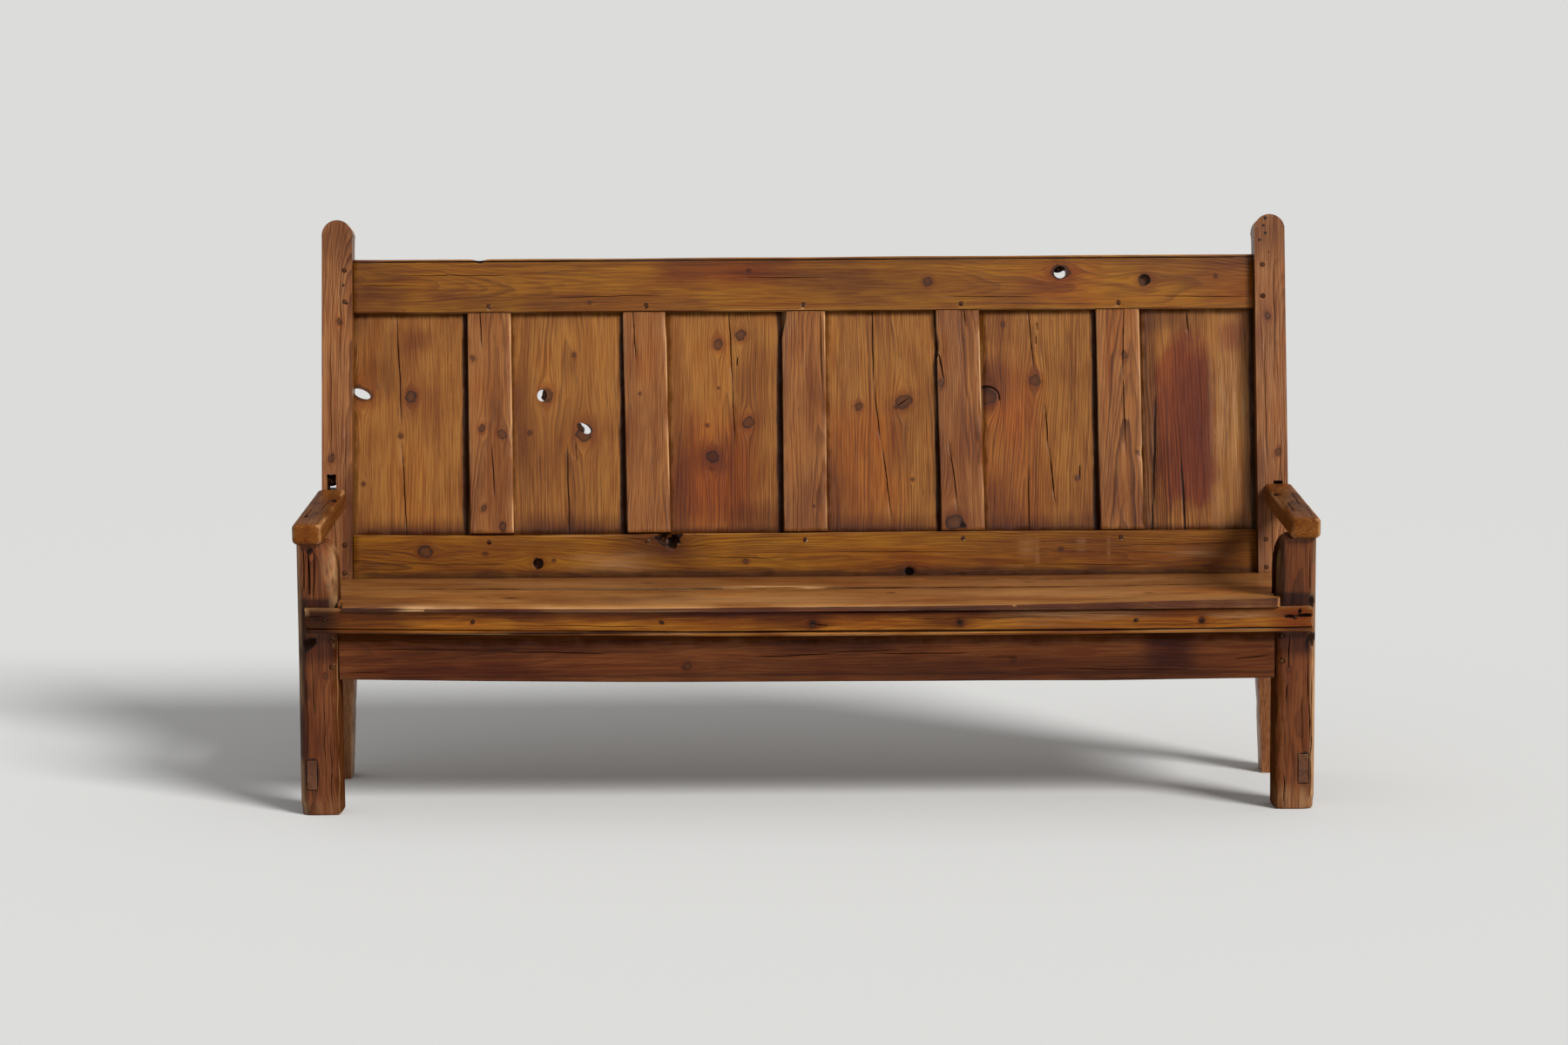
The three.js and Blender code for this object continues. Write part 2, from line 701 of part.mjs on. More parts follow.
// Section of the beaded rail: a bead along the lower front edge under a narrow quirk.
function beadRail() {
  const front = -gap - beadRailThickness;
  const shape = new THREE.Shape();
  const quirkFoot = 2 * beadRadius;
  shape.moveTo(-gap, 0);
  shape.lineTo(front + beadRadius, 0);
  shape.absarc(front + beadRadius, beadRadius, beadRadius, -quarterTurn, -3 * quarterTurn, true);
  shape.lineTo(front + quirkDepth + beadRadius, quirkFoot);
  shape.lineTo(front + quirkDepth, quirkFoot + quirkWidth / 2);
  shape.lineTo(front, quirkFoot + quirkWidth);
  shape.lineTo(front, beadRailHeight - quirkWidth);
  shape.lineTo(front + quirkWidth, beadRailHeight);
  shape.lineTo(-gap, beadRailHeight);
  const geometry = new THREE.ExtrudeGeometry(shape, {
    depth: beadRailRight - beadRailLeft,
    steps: bowSteps,
    bevelEnabled: false,
    curveSegments: roundSteps,
  });
  geometry.applyMatrix4(new THREE.Matrix4().makeBasis(yAxis, zAxis, xAxis));
  geometry.translate(beadRailLeft, 0, 0);
  const spots = geometry.getAttribute("position");
  for (let i = 0; i < spots.count; i += 1) {
    spots.setZ(i, spots.getZ(i) + beadRailFoot(spots.getX(i)));
  }
  return cut(solidOf(geometry), nailHoles());
}

function bearerPlaces() {
  const pitch = backWidth / (bearerCount + 1);
  return Array.from({ length: bearerCount }, (_, i) => (i + 1) * pitch - backHalf);
}

function bearerTenonHeights(place) {
  const top = underSeat(place, seatJoint) - bearerHeight / 4;
  return [top - bearerHeight / 2, top];
}

// Sockets for the bearers' stub tenons in the face of a rail, over a stretch of its thickness.
function bearerSockets(deep) {
  return bearerPlaces().map((place) =>
    block(
      about(place, bearerTenonWidth + 2 * gap),
      deep,
      grown(bearerTenonHeights(place), gap),
    ),
  );
}

function apron() {
  const x = [gap - frontPostInner, frontPostInner - gap];
  const body = slab(x, [apronSet, apronBack], apronFoot, underSeat, bowSteps);
  const tenon = block(
    grown([-frontPostInner, frontPostInner], seatTenonLength),
    apronTenonDeep,
    apronTenonHeights,
  );
  const pegs = apronPegHeights.flatMap((z) =>
    Object.values(sides).map((side) =>
      rod(side * (frontPostInner + apronPegInset), z, pegRadius + gap, [0, apronPegLength]),
    ),
  );
  return cut(join(body, [tenon]), [
    ...pegs,
    ...bearerSockets([apronBack - bearerTenonLength - gap, apronBack + overrun]),
    ...nailHoles(),
  ]);
}

function rearSeatRail() {
  const x = [gap - backHalf, backHalf - gap];
  const y = [rearRailFront, rearRailFront + seatRailThickness];
  const low = (across, deep) => underSeat(across, deep) - seatRailWidth;
  const body = slab(x, y, low, underSeat, bowSteps);
  const tenon = block(grown([-backHalf, backHalf], seatTenonLength), rearTenonDeep, seatTenonHeights);
  const sockets = bearerSockets([rearRailFront - overrun, rearRailFront + bearerTenonLength + gap]);
  return cut(join(body, [tenon]), sockets);
}

function sideSeatRail(side) {
  const x = [sideRailOuter - seatRailThickness, sideRailOuter].map((edge) => side * edge);
  const y = [frontPostDepth + gap, seatDepth - gap];
  const low = (across, deep) => underSeat(across, deep) - seatRailWidth;
  const body = slab([Math.min(...x), Math.max(...x)], y, low, underSeat);
  const tenon = block(
    sideTenonAcross.map((edge) => side * edge),
    grown([frontPostDepth, seatDepth], seatTenonLength),
    seatTenonHeights,
  );
  return join(body, [tenon]);
}

function seatBearer(place) {
  const x = about(place, bearerWidth);
  const y = [apronBack + gap, rearRailFront - gap];
  const low = (across, deep) => underSeat(across, deep) - bearerHeight;
  const tenon = block(
    about(place, bearerTenonWidth),
    grown([apronBack, rearRailFront], bearerTenonLength),
    bearerTenonHeights(place),
  );
  return join(slab(x, y, low, underSeat), [tenon]);
}

// Colours of the woods and of the nails
const finishes = {
  post: { color: 0x8a5630, roughness: 0.55, metalness: 0 },
  arm: { color: 0x8c5c38, roughness: 0.42, metalness: 0 },
  frame: { color: 0x9a6334, roughness: 0.5, metalness: 0 },
  panel: { color: 0xa06c3c, roughness: 0.5, metalness: 0 },
  seat: { color: 0x94633a, roughness: 0.45, metalness: 0 },
  apron: { color: 0x74401f, roughness: 0.5, metalness: 0 },
  hidden: { color: 0x7d5836, roughness: 0.75, metalness: 0 },
  peg: { color: 0x4a2c17, roughness: 0.6, metalness: 0 },
  nail: { color: 0x2b2522, roughness: 0.6, metalness: 0.8 },
};

function addPiece(group, name, solid, finish) {
  const mesh = new THREE.Mesh(geometryOf(solid), new THREE.MeshStandardMaterial(finishes[finish]));
  mesh.name = name;
  group.add(mesh);
}

function buildBack() {
  const back = new THREE.Group();
  back.rotation.x = -lean;
  back.position.set(0, seatDepth, bendHeight);
  addPiece(back, "top_rail", topRail(), "frame");
  addPiece(back, "lower_back_rail", lowRail(), "frame");
  muntinPlaces.forEach((place, i) => addPiece(back, `muntin_${i + 1}`, muntin(place), "frame"));
  for (let number = 1; number <= muntinCount + 1; number += 1) {
    addPiece(back, `panel_${number}`, panel(number), "panel");
  }
  muntinPlaces.forEach((place, i) => {
    const top = rod(place, topRailLow + pegAboveJoint, pegRadius, [railSet, railBack]);
    const low = rod(place, lowRailTop - pegBelowJoint, pegRadius, [railSet, railBack]);
    addPiece(back, `muntin_peg_top_${i + 1}`, top, "peg");
    addPiece(back, `muntin_peg_low_${i + 1}`, low, "peg");
  });
  Object.entries(sides).forEach(([sideName, side]) => {
    const x = side * (backHalf + postPegInset);
    [...lowRailPegHeights, ...topRailPegHeights].forEach((z, i) => {
      addPiece(back, `post_peg_${sideName}_${i + 1}`, rod(x, z, pegRadius, [0, railBack]), "peg");
    });
  });
  return back;
}

function buildEnds() {
  const ends = new THREE.Group();
  Object.entries(sides).forEach(([sideName, side]) => {
    addPiece(ends, `front_post_${sideName}`, frontPost(sideName), "post");
    addPiece(ends, `rear_post_${sideName}`, rearPost(sideName), "post");
    addPiece(ends, `arm_${sideName}`, arm(sideName), "arm");
    addPiece(ends, `side_seat_rail_${sideName}`, sideSeatRail(side), "hidden");
    const plugX = [side * (frontPostInner + plugInset), side * (frontPostInner + plugInset + plugWidth)];
    const plug = block(plugX, [0, plugDepth], [plugFloor, plugFloor + plugHeight]);
    addPiece(ends, `mortise_plug_${sideName}`, plug, "peg");
    apronPegHeights.forEach((z, i) => {
      const peg = rod(side * (frontPostInner + apronPegInset), z, pegRadius, [0, apronPegLength]);
      addPiece(ends, `apron_peg_${sideName}_${i + 1}`, peg, "peg");
    });
  });
  return ends;
}

function buildSeat() {
  const seat = new THREE.Group();
  addPiece(seat, "seat_board_front", frontSeatBoard(), "seat");
  addPiece(seat, "seat_board_rear", rearSeatBoard(), "seat");
  addPiece(seat, "front_bead_rail", beadRail(), "frame");
  addPiece(seat, "front_apron", apron(), "apron");
  addPiece(seat, "rear_seat_rail", rearSeatRail(), "hidden");
  bearerPlaces().forEach((place, i) => addPiece(seat, `seat_bearer_${i + 1}`, seatBearer(place), "hidden"));
  nailPlaces().forEach(({ x, z }, i) => {
    const nail = rod(x, z, nailRadius, [-beadRailThickness, nailReach]);
    addPiece(seat, `bead_nail_${i + 1}`, nail, "nail");
  });
  return seat;
}

const bench = new THREE.Group();
bench.add(buildEnds(), buildSeat(), buildBack());
const box = new THREE.Box3().setFromObject(bench);
bench.position.y = -(box.min.y + box.max.y) / 2;

export default bench;
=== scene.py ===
# %% [markdown]
# # An old pine settle, dressed with age
# The bench is a fixed frame of pine boards: four posts, two arms, a leaning back of panels between
# muntins, and a seat of two boards. The imported solids give every board its size and its joints. This
# script gives each one what two centuries add: grain, knots, splits, stains and rubbed arrises.
# It starts by loading the solids, which stay where they are.

# %% Load the solids
from math import cos, degrees, pi, radians, sin, sqrt

import bmesh
import bpy
from mathutils import Euler, Matrix, Vector, noise


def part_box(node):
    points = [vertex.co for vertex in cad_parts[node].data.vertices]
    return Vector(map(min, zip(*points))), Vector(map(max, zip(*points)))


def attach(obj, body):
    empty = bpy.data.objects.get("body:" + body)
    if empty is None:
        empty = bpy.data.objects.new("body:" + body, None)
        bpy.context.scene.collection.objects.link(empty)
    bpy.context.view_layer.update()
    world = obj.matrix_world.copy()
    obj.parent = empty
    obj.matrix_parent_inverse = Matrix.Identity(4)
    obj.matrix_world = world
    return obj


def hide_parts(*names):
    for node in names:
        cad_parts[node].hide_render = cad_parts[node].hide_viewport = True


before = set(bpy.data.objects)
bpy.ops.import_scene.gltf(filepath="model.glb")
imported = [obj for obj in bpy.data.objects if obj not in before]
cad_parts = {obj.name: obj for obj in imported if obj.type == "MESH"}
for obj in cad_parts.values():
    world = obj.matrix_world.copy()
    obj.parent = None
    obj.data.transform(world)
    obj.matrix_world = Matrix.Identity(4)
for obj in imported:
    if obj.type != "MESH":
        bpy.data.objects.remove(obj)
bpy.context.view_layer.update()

print("Solids:", len(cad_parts))

# %% [markdown]
# ## Where things are
# Each board is worked on in a frame of its own, in millimetres, in which its seen face looks towards
# minus Y. The parts of the back share one frame that leans with them, whose origin is at the bend of
# the rear posts, so a place on the back is written as it is measured there: X along the bench and Z
# up the slope. Upright parts share another, and the seat boards lie in a third, with Z towards the
# back. The arms have one that slopes with them. The same four frames later place the wood's pattern.

# %% Frames of the boards
MM = 0.001
LEAN = radians(10)
ARM_SLOPE = radians(2.4)
BEND_HEIGHT = 0.447
ARM_UNDERSIDE = 0.572

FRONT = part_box("front_post_left")[0].y
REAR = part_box("rear_post_left")[0].y


def place(origin, turn):
    return Matrix.Translation(origin) @ Matrix.Rotation(turn, 4, "X") @ Matrix.Scale(MM, 4)


PLACES = {
    "back": ((0, REAR, BEND_HEIGHT), -LEAN),
    "upright": ((0, FRONT, 0), 0.0),
    "seat": ((0, FRONT, 0), -pi / 2),
    "arm": ((0, FRONT, ARM_UNDERSIDE), ARM_SLOPE - pi / 2),
}
print("Front faces of the posts at", round(FRONT, 4), "and of the rear ones at", round(REAR, 4))

# %% [markdown]
# ## The camera
# The photograph was taken with a long lens, from a little above the bench and almost square to it,
# with a small roll. These numbers come from fitting the bench's straight edges, so the frame of the
# picture is matched without shifting the lens.

# %% Camera
FOCAL_LENGTH = 90.0
SENSOR = 36.0
CAMERA_PITCH = radians(6.977)
CAMERA_ROLL = radians(-0.376)
CAMERA_PLACE = (-0.046, FRONT - 8.0625, 1.598)

camera_data = bpy.data.cameras.new("camera")
camera_data.lens = FOCAL_LENGTH
camera_data.sensor_width = SENSOR
camera = bpy.data.objects.new("camera", camera_data)
camera.matrix_world = (
    Matrix.Translation(CAMERA_PLACE)
    @ Matrix.Rotation(pi / 2 - CAMERA_PITCH, 4, "X")
    @ Matrix.Rotation(CAMERA_ROLL, 4, "Z")
)
bpy.context.scene.collection.objects.link(camera)
bpy.context.scene.camera = camera
bpy.context.scene.view_settings.view_transform = "Standard"
print("Camera at", CAMERA_PLACE, "with a lens of", FOCAL_LENGTH, "mm")

# %% [markdown]
# ## Wires
# A wood pattern is a long sum of noises, distances and thresholds. Written node by node it would be
# unreadable, so a small class stands for one value on its way through a material: adding or
# multiplying two of them makes the Math node that does it.

# %% Arithmetic that makes nodes


def plug(tree, inputs, values):
    for socket, value in zip(inputs, values):
        if isinstance(value, Wire):
            tree.links.new(value.socket, socket)
        else:
            socket.default_value = value


def calculate(tree, operation, *values):
    node = tree.nodes.new("ShaderNodeMath")
    node.operation = operation
    plug(tree, node.inputs, values)
    return Wire(tree, node.outputs[0])


class Wire:
    """A number, vector or colour that flows between nodes."""

    def __init__(self, tree, socket):
        self.tree = tree
        self.socket = socket

    def math(self, operation, *others):
        return calculate(self.tree, operation, self, *others)

    def __add__(self, other):
        return self.math("ADD", other)

    def __sub__(self, other):
        return self.math("SUBTRACT", other)

    def __rsub__(self, other):
        return calculate(self.tree, "SUBTRACT", other, self)

    def __mul__(self, other):
        return self.math("MULTIPLY", other)

    def __truediv__(self, other):
        return self.math("DIVIDE", other)


# %% [markdown]
# Thresholds, vectors, noise and layers of colour need nodes of their own. Each gets a short routine,
# so that the wood below reads as a list of layers and not as a list of nodes.

# %% Noise and layers


def smooth(wire, low, high):
    """0 at low, 1 at high and a soft step between them, also where high is the smaller."""
    node = wire.tree.nodes.new("ShaderNodeMapRange")
    node.interpolation_type = "SMOOTHSTEP"
    plug(wire.tree, node.inputs, (wire, low, high))
    return Wire(wire.tree, node.outputs[0])


def joined(tree, x, y, z):
    """The socket of a vector made of three numbers."""
    join = tree.nodes.new("ShaderNodeCombineXYZ")
    plug(tree, join.inputs, (x, y, z))
    return join.outputs[0]


def parted(tree, socket):
    """The three numbers of a vector."""
    part = tree.nodes.new("ShaderNodeSeparateXYZ")
    tree.links.new(socket, part.inputs[0])
    return [Wire(tree, number) for number in part.outputs]


def fbm(tree, x, y, z, detail=0.0):
    """Soft noise from 0 to 1 at a place that is already scaled to the size of its lumps."""
    node = tree.nodes.new("ShaderNodeTexNoise")
    node.inputs["Scale"].default_value = 1.0
    node.inputs["Detail"].default_value = detail
    tree.links.new(joined(tree, x, y, z), node.inputs["Vector"])
    return Wire(tree, node.outputs[0])


def blend(base, top, share, mode="MIX"):
    """One colour laid over another by a share from 0 to 1. Colours are wires or tuples."""
    tree = share.tree if isinstance(share, Wire) else base.tree
    node = tree.nodes.new("ShaderNodeMix")
    node.data_type = "RGBA"
    node.blend_type = mode
    plug(tree, (node.inputs[0], node.inputs[6], node.inputs[7]), (share, base, top))
    return Wire(tree, node.outputs[2])


# %% [markdown]
# What many boards share goes into a node group, which is made once and used by every material. The
# last two routines start a material and give it its relief. The relief is a bump, because fibres and
# rings are far finer than the mesh.

# %% Groups and materials


def group(name, inputs, outputs, build):
    """A node group with number sockets, filled by a function from its input wires to its outputs."""
    tree = bpy.data.node_groups.new(name, "ShaderNodeTree")
    for label in inputs:
        tree.interface.new_socket(label, in_out="INPUT", socket_type="NodeSocketFloat")
    for label in outputs:
        tree.interface.new_socket(label, in_out="OUTPUT", socket_type="NodeSocketFloat")
    source = tree.nodes.new("NodeGroupInput")
    target = tree.nodes.new("NodeGroupOutput")
    results = build(tree, *(Wire(tree, socket) for socket in source.outputs[: len(inputs)]))
    plug(tree, target.inputs, results)
    return tree


def use(tree, group_tree, *values):
    node = tree.nodes.new("ShaderNodeGroup")
    node.node_tree = group_tree
    plug(tree, node.inputs, values)
    wires = [Wire(tree, socket) for socket in node.outputs]
    return wires[0] if len(wires) == 1 else wires


def srgb(red, green, blue):
    """A colour as a paint chart gives it, from 0 to 255, as the linear colour that a shader needs."""
    def linear(level):
        share = level / 255
        return share / 12.92 if share <= 0.04045 else ((share + 0.055) / 1.055) ** 2.4

    return (linear(red), linear(green), linear(blue), 1.0)


def new_material(name):
    """A material with nodes, its tree and its shader."""
    material = bpy.data.materials.new(name)
    material.use_nodes = True
    tree = material.node_tree
    return material, tree, tree.nodes["Principled BSDF"]


def raise_skin(tree, shader, height, strength):
    """Lets a height, in millimetres, tilt the light on a surface."""
    bump = tree.nodes.new("ShaderNodeBump")
    bump.inputs["Strength"].default_value = strength
    bump.inputs["Distance"].default_value = MM
    tree.links.new(height.socket, bump.inputs["Height"])
    tree.links.new(bump.outputs[0], shader.inputs["Normal"])


# %% [markdown]
# ## Growth rings
# A board is a slice of a trunk, so the pattern is made as the tree made it: rings round a pith that
# wanders slowly along the board. The distance to the pith, counted in rings, gives pale spring wood
# that darkens into a hard line each year. Where the pith lies behind the face the rings meet it in
# the pointed arches of a flat-sawn board, and far to one side they run as straight lines. The same
# sum also gives end grain on the ends. Fine fibres, broad blotches and hair-thin drying checks come
# from noises that are stretched along the grain. The named values are millimetres: how far the pith
# wanders, and how far lumps, ripples and good or bad years move a ring. The factors beside a place in
# the calls of fbm are one over the size of a lump: 0.07 across and 0.013 along is about 14 by 80 mm.

# %% Growth rings
PITH_DRIFT = 90
PITH_SINK = 50
RING_LUMPS = 16
RING_RIPPLE = 2.4
RING_CLIMATE = 26


def growth_rings(tree, across, depth, along, pith_across, pith_depth, ring, taper, seed):
    drift = fbm(tree, seed, 1.7, along * 0.0011)
    sink = fbm(tree, seed, 9.2, along * 0.0014)
    off_across = across - pith_across - (drift - 0.5) * PITH_DRIFT
    off_depth = depth - pith_depth - (sink - 0.5) * PITH_SINK
    radius = (off_across * off_across + off_depth * off_depth).math("SQRT") + along * taper
    lumps = fbm(tree, across * 0.012 + seed, depth * 0.012, along * 0.004, 2.0)
    ripple = fbm(tree, across * 0.07, depth * 0.07, along * 0.013 + seed, 1.0)
    climate = fbm(tree, radius * 0.045, seed, 3.3, 1.0)
    count = radius + (lumps - 0.5) * RING_LUMPS + (ripple - 0.5) * RING_RIPPLE
    count = (count + (climate - 0.5) * RING_CLIMATE) / ring
    year = tree.nodes.new("ShaderNodeTexWhiteNoise")
    year.noise_dimensions = "1D"
    plug(tree, [year.inputs["W"]], [count.math("FLOOR") + seed])
    clearness = smooth(fbm(tree, across * 0.01, seed + 5.0, along * 0.0035, 2.0), 0.36, 0.6)
    strength = (Wire(tree, year.outputs["Value"]) * 0.5 + 0.5) * (clearness * 0.6 + 0.4)
    share = count.math("FRACT")
    late = smooth(share, 0.25, 0.9) * smooth(share, 1.0, 0.94) * strength
    fibre = fbm(tree, across * 0.4, depth * 0.4, along * 0.011 + seed, 3.0)
    streak = fbm(tree, across * 0.07, depth * 0.07, along * 0.0022 + seed, 2.0)
    blotch = fbm(tree, across * 0.011, depth * 0.011 + seed, along * 0.0045, 3.0)
    line = (fbm(tree, across * 0.06 + seed, depth * 0.06, along * 0.002, 1.0) - 0.5).math("ABSOLUTE")
    patch = smooth(fbm(tree, across * 0.013, seed, along * 0.004, 1.0), 0.5, 0.64)
    check = smooth(line, 0.013, 0.003) * patch
    return late, fibre, streak, blotch, check


RINGS = group(
    "growth rings",
    ["Across", "Depth", "Along", "Pith across", "Pith depth", "Ring", "Taper", "Seed"],
    ["Late wood", "Fibre", "Streak", "Blotch", "Check"],
    growth_rings,
)
print("Nodes in the growth rings:", len(RINGS.nodes))

# %% [markdown]
# ## Knots
# A knot is a branch that the trunk grew round. Round it the grain parts and closes again like a
# stream round a stone, so the flow past a cylinder gives how far each line is pushed aside. The group
# gives that push and the distance from the knot's middle in knot radii, from which the material
# paints the branch's own rings, its dark bark rim and the darker wood round it.

# %% Knots
FLOW_LENGTH = 2.4
KNOT_RAGGED = 0.9


def knot(tree, across, along, centre_across, centre_along, radius, long, tilt):
    off = across - centre_across
    rise = along - centre_along
    turn_cos = tilt.math("COSINE")
    turn_sin = tilt.math("SINE")
    wide = off * turn_cos + rise * turn_sin
    tall = (rise * turn_cos - off * turn_sin) / long
    wobble = fbm(tree, off / radius * KNOT_RAGGED, centre_along, rise / radius * KNOT_RAGGED, 1.0) - 0.5
    reach = (wide * wide + tall * tall).math("SQRT") / radius + wobble
    slow_rise = rise / FLOW_LENGTH
    flow = (off * off + slow_rise * slow_rise) / (radius * radius)
    return off / flow.math("MAXIMUM", 1.0), reach


KNOT = group(
    "knot",
    ["Across", "Along", "Centre across", "Centre along", "Radius", "Long", "Tilt"],
    ["Push", "Reach"],
    knot,
)
print("Nodes in a knot:", len(KNOT.nodes))

# %% [markdown]
# ## Stains, worm holes and specks
# Stains, scuffs and patches of painted shade are patches with soft and ragged edges, so each is a
# rounded rectangle whose edge a noise moves in and out. Two values name how far, in shares of its half
# size. Worm holes come from the cells of a Voronoi pattern, but only in a few areas, as worms keep to
# the softer wood. Short dark dashes are the resin channels of pine.

# %% Stains and specks
STAIN_WOBBLE = 0.9
STAIN_STREAK = 0.25


def stain(tree, across, along, centre_across, centre_along, half_across, half_along, soft, seed):
    wide = (across - centre_across) / half_across
    tall = (along - centre_along) / half_along
    wobble = fbm(tree, across * 0.02, seed, along * 0.012, 3.0) - 0.5
    streak = fbm(tree, across * 0.15, seed, along * 0.006, 1.0) - 0.5
    wide, tall = wide * wide, tall * tall
    edge = (wide * wide + tall * tall).math("POWER", 0.25)
    edge = edge + wobble * STAIN_WOBBLE + streak * STAIN_STREAK
    return (smooth(edge, soft + 1.0, 1.0 - soft),)


STAIN = group(
    "stain",
    ["Across", "Along", "Centre across", "Centre along", "Half across", "Half along", "Soft", "Seed"],
    ["Share"],
    stain,
)


def specks(tree, across, depth, along, seed):
    spot = joined(tree, across * 0.045 + seed, depth * 0.045, along * 0.03)
    cells = tree.nodes.new("ShaderNodeTexVoronoi")
    cells.inputs["Scale"].default_value = 1.0
    tree.links.new(spot, cells.inputs["Vector"])
    distance = Wire(tree, cells.outputs["Distance"])
    patch = fbm(tree, across * 0.008, seed, along * 0.006, 2.0)
    hole = smooth(distance, 0.05, 0.03) * smooth(patch, 0.48, 0.6)
    dash = fbm(tree, across * 0.35, depth * 0.35 + seed, along * 0.03, 1.0)
    return hole, smooth(dash, 0.69, 0.75)


SPECKS = group("specks", ["Across", "Depth", "Along", "Seed"], ["Hole", "Dash"], specks)
print("Nodes in a stain and in the specks:", len(STAIN.nodes), "and", len(SPECKS.nodes))

# %% [markdown]
# ## Colours of old pine
# Pine is almost white when it is cut and turns orange and brown over the years, at another pace on
# each part: the apron in the shade is darkest and the panels are palest. So each kind of part has the
# tones of its spring wood and of its dark late wood. The colours below them are shared: what knots,
# fibres, wax, dirt and wear do to any of these tones.

# %% Colours of old pine
TONES = {
    "panel": (srgb(154, 103, 45), srgb(98, 57, 22)),
    "muntin": (srgb(149, 97, 50), srgb(92, 53, 25)),
    "rail": (srgb(142, 92, 16), srgb(92, 53, 8)),
    "bead": (srgb(148, 93, 24), srgb(98, 56, 12)),
    "seat": (srgb(172, 122, 66), srgb(112, 72, 34)),
    "post": (srgb(154, 104, 62), srgb(96, 56, 30)),
    "leg": (srgb(112, 63, 30), srgb(66, 34, 15)),
    "arm": (srgb(132, 82, 32), srgb(86, 50, 19)),
    "apron": (srgb(102, 56, 23), srgb(68, 36, 14)),
    "rough": (srgb(136, 100, 62), srgb(106, 74, 44)),
    "bark": (srgb(58, 37, 22), srgb(30, 18, 11)),
}
KNOT_HEART = srgb(84, 47, 21)
KNOT_EDGE = srgb(50, 27, 13)
BARK = srgb(28, 16, 10)
HALO = srgb(208, 168, 124)
FIBRES = srgb(214, 190, 160)
PATINA = srgb(208, 182, 148)
HONEY = srgb(255, 222, 160)
# Dark grime, which also paints shade along joints and in corners.
DIRT_AND_SHADE = srgb(44, 25, 13)
OPEN_SPLIT = srgb(24, 14, 9)
# Pale rubbed wood, which on some arrises is also a painted highlight.
RUBBED_AND_HIGHLIGHT = srgb(224, 174, 120)
print("Tones of pine:", ", ".join(TONES))

# %% [markdown]
# ## Places on a board
# A pattern has to know where it is: how far across the board, how deep and how far along the grain.
# That comes from the object's own coordinates, so it stays with the board. Knots come first, because
# they push the grain aside. Two values are painted on the mesh while it is shaped and read here:
# "split" is the depth of a crack and "rubbed" is how far an arris is worn.

# %% Places on a board


def material_places(tree, place_name, grain):
    """Across, depth and along the grain in millimetres, from the object's own coordinates."""
    origin, turn = PLACES[place_name]
    coordinates = tree.nodes.new("ShaderNodeTexCoord")
    mapping = tree.nodes.new("ShaderNodeMapping")
    mapping.vector_type = "TEXTURE"
    mapping.inputs["Location"].default_value = origin
    mapping.inputs["Rotation"].default_value = Euler((turn, 0, 0))
    mapping.inputs["Scale"].default_value = (MM, MM, MM)
    tree.links.new(coordinates.outputs["Object"], mapping.inputs["Vector"])
    x, y, z = parted(tree, mapping.outputs[0])
    return {"x": (z, y, x), "y": (x, z, y), "z": (x, y, z)}[grain]


def attribute(tree, name):
    node = tree.nodes.new("ShaderNodeAttribute")
    node.attribute_name = name
    return Wire(tree, node.outputs["Fac"])


def placed(grain, x, z):
    """A place on the face as shares across and along the grain."""
    return (z, x) if grain == "x" else (x, z)


def with_knots(tree, across, along, grain, knots):
    """The places across the grain after every knot's push, and the distance to the nearest knot."""
    push, nearest = None, None
    for x, z, radius, *shape in knots:
        long, tilt = shape if shape else (1.0, 0.0)
        moved, reach = use(tree, KNOT, across, along, *placed(grain, x, z), radius, long, radians(tilt))
        push = moved if push is None else push + moved
        nearest = reach if nearest is None else nearest.math("MINIMUM", reach)
    return (across, None) if push is None else (across - push, nearest)


# %% [markdown]
# ## Knots, stains, grime and painted shade
# Each of these lays a few colours over the wood. Distances in a knot are in knot radii, so 1 is its
# rim. A soft and uneven dark band along the joints of a board is grime, and in its corners painted
# shade.

# %% Knots, stains, grime and painted shade
GRIME_AND_SHADE_WOBBLE = 1.6


def paint_knots(colour, nearest, fibre, blotch):
    heart = blend(KNOT_HEART, KNOT_EDGE, smooth(nearest + fibre * 0.8, 0.7, 1.5))
    rings = smooth((nearest * 4.5).math("FRACT"), 0.2, 0.9)
    heart = blend(heart, BARK, rings * 0.2)
    colour = blend(colour, HALO, smooth(nearest, 2.6, 1.0) * 0.6, "MULTIPLY")
    colour = blend(colour, heart, smooth(nearest, 1.2, 0.8) * 0.85)
    rim = smooth((nearest - 0.98).math("ABSOLUTE"), 0.16, 0.03)
    return blend(colour, BARK, rim * smooth(blotch + fibre * 0.3, 0.45, 0.68) * 0.75)


def paint_stains_and_shade(tree, colour, across, along, grain, stains_and_shade):
    for index, (x, z, half_x, half_z, soft, tint, share) in enumerate(stains_and_shade):
        centre = placed(grain, x, z)
        halves = placed(grain, half_x, half_z)
        mask = use(tree, STAIN, across, along, *centre, *halves, soft, 3.0 + index * 7.7)
        colour = blend(colour, tint, mask * share, "MULTIPLY")
    return colour


def edge_dirt_and_shade(tree, across, along, grain, edges, reach):
    """How close a place is to the joints round its board, from 0 to 1."""
    (left, right), (low, high) = edges
    (from_across, to_across), (from_along, to_along) = placed(grain, (left, right), (low, high))
    near = (across - from_across).math("MINIMUM", to_across - across)
    near = near.math("MINIMUM", along - from_along).math("MINIMUM", to_along - along)
    wobble = fbm(tree, across * 0.03, 4.0, along * 0.03, 3.0) - 0.5
    return smooth(near + wobble * reach * GRIME_AND_SHADE_WOBBLE, reach, 0.0)


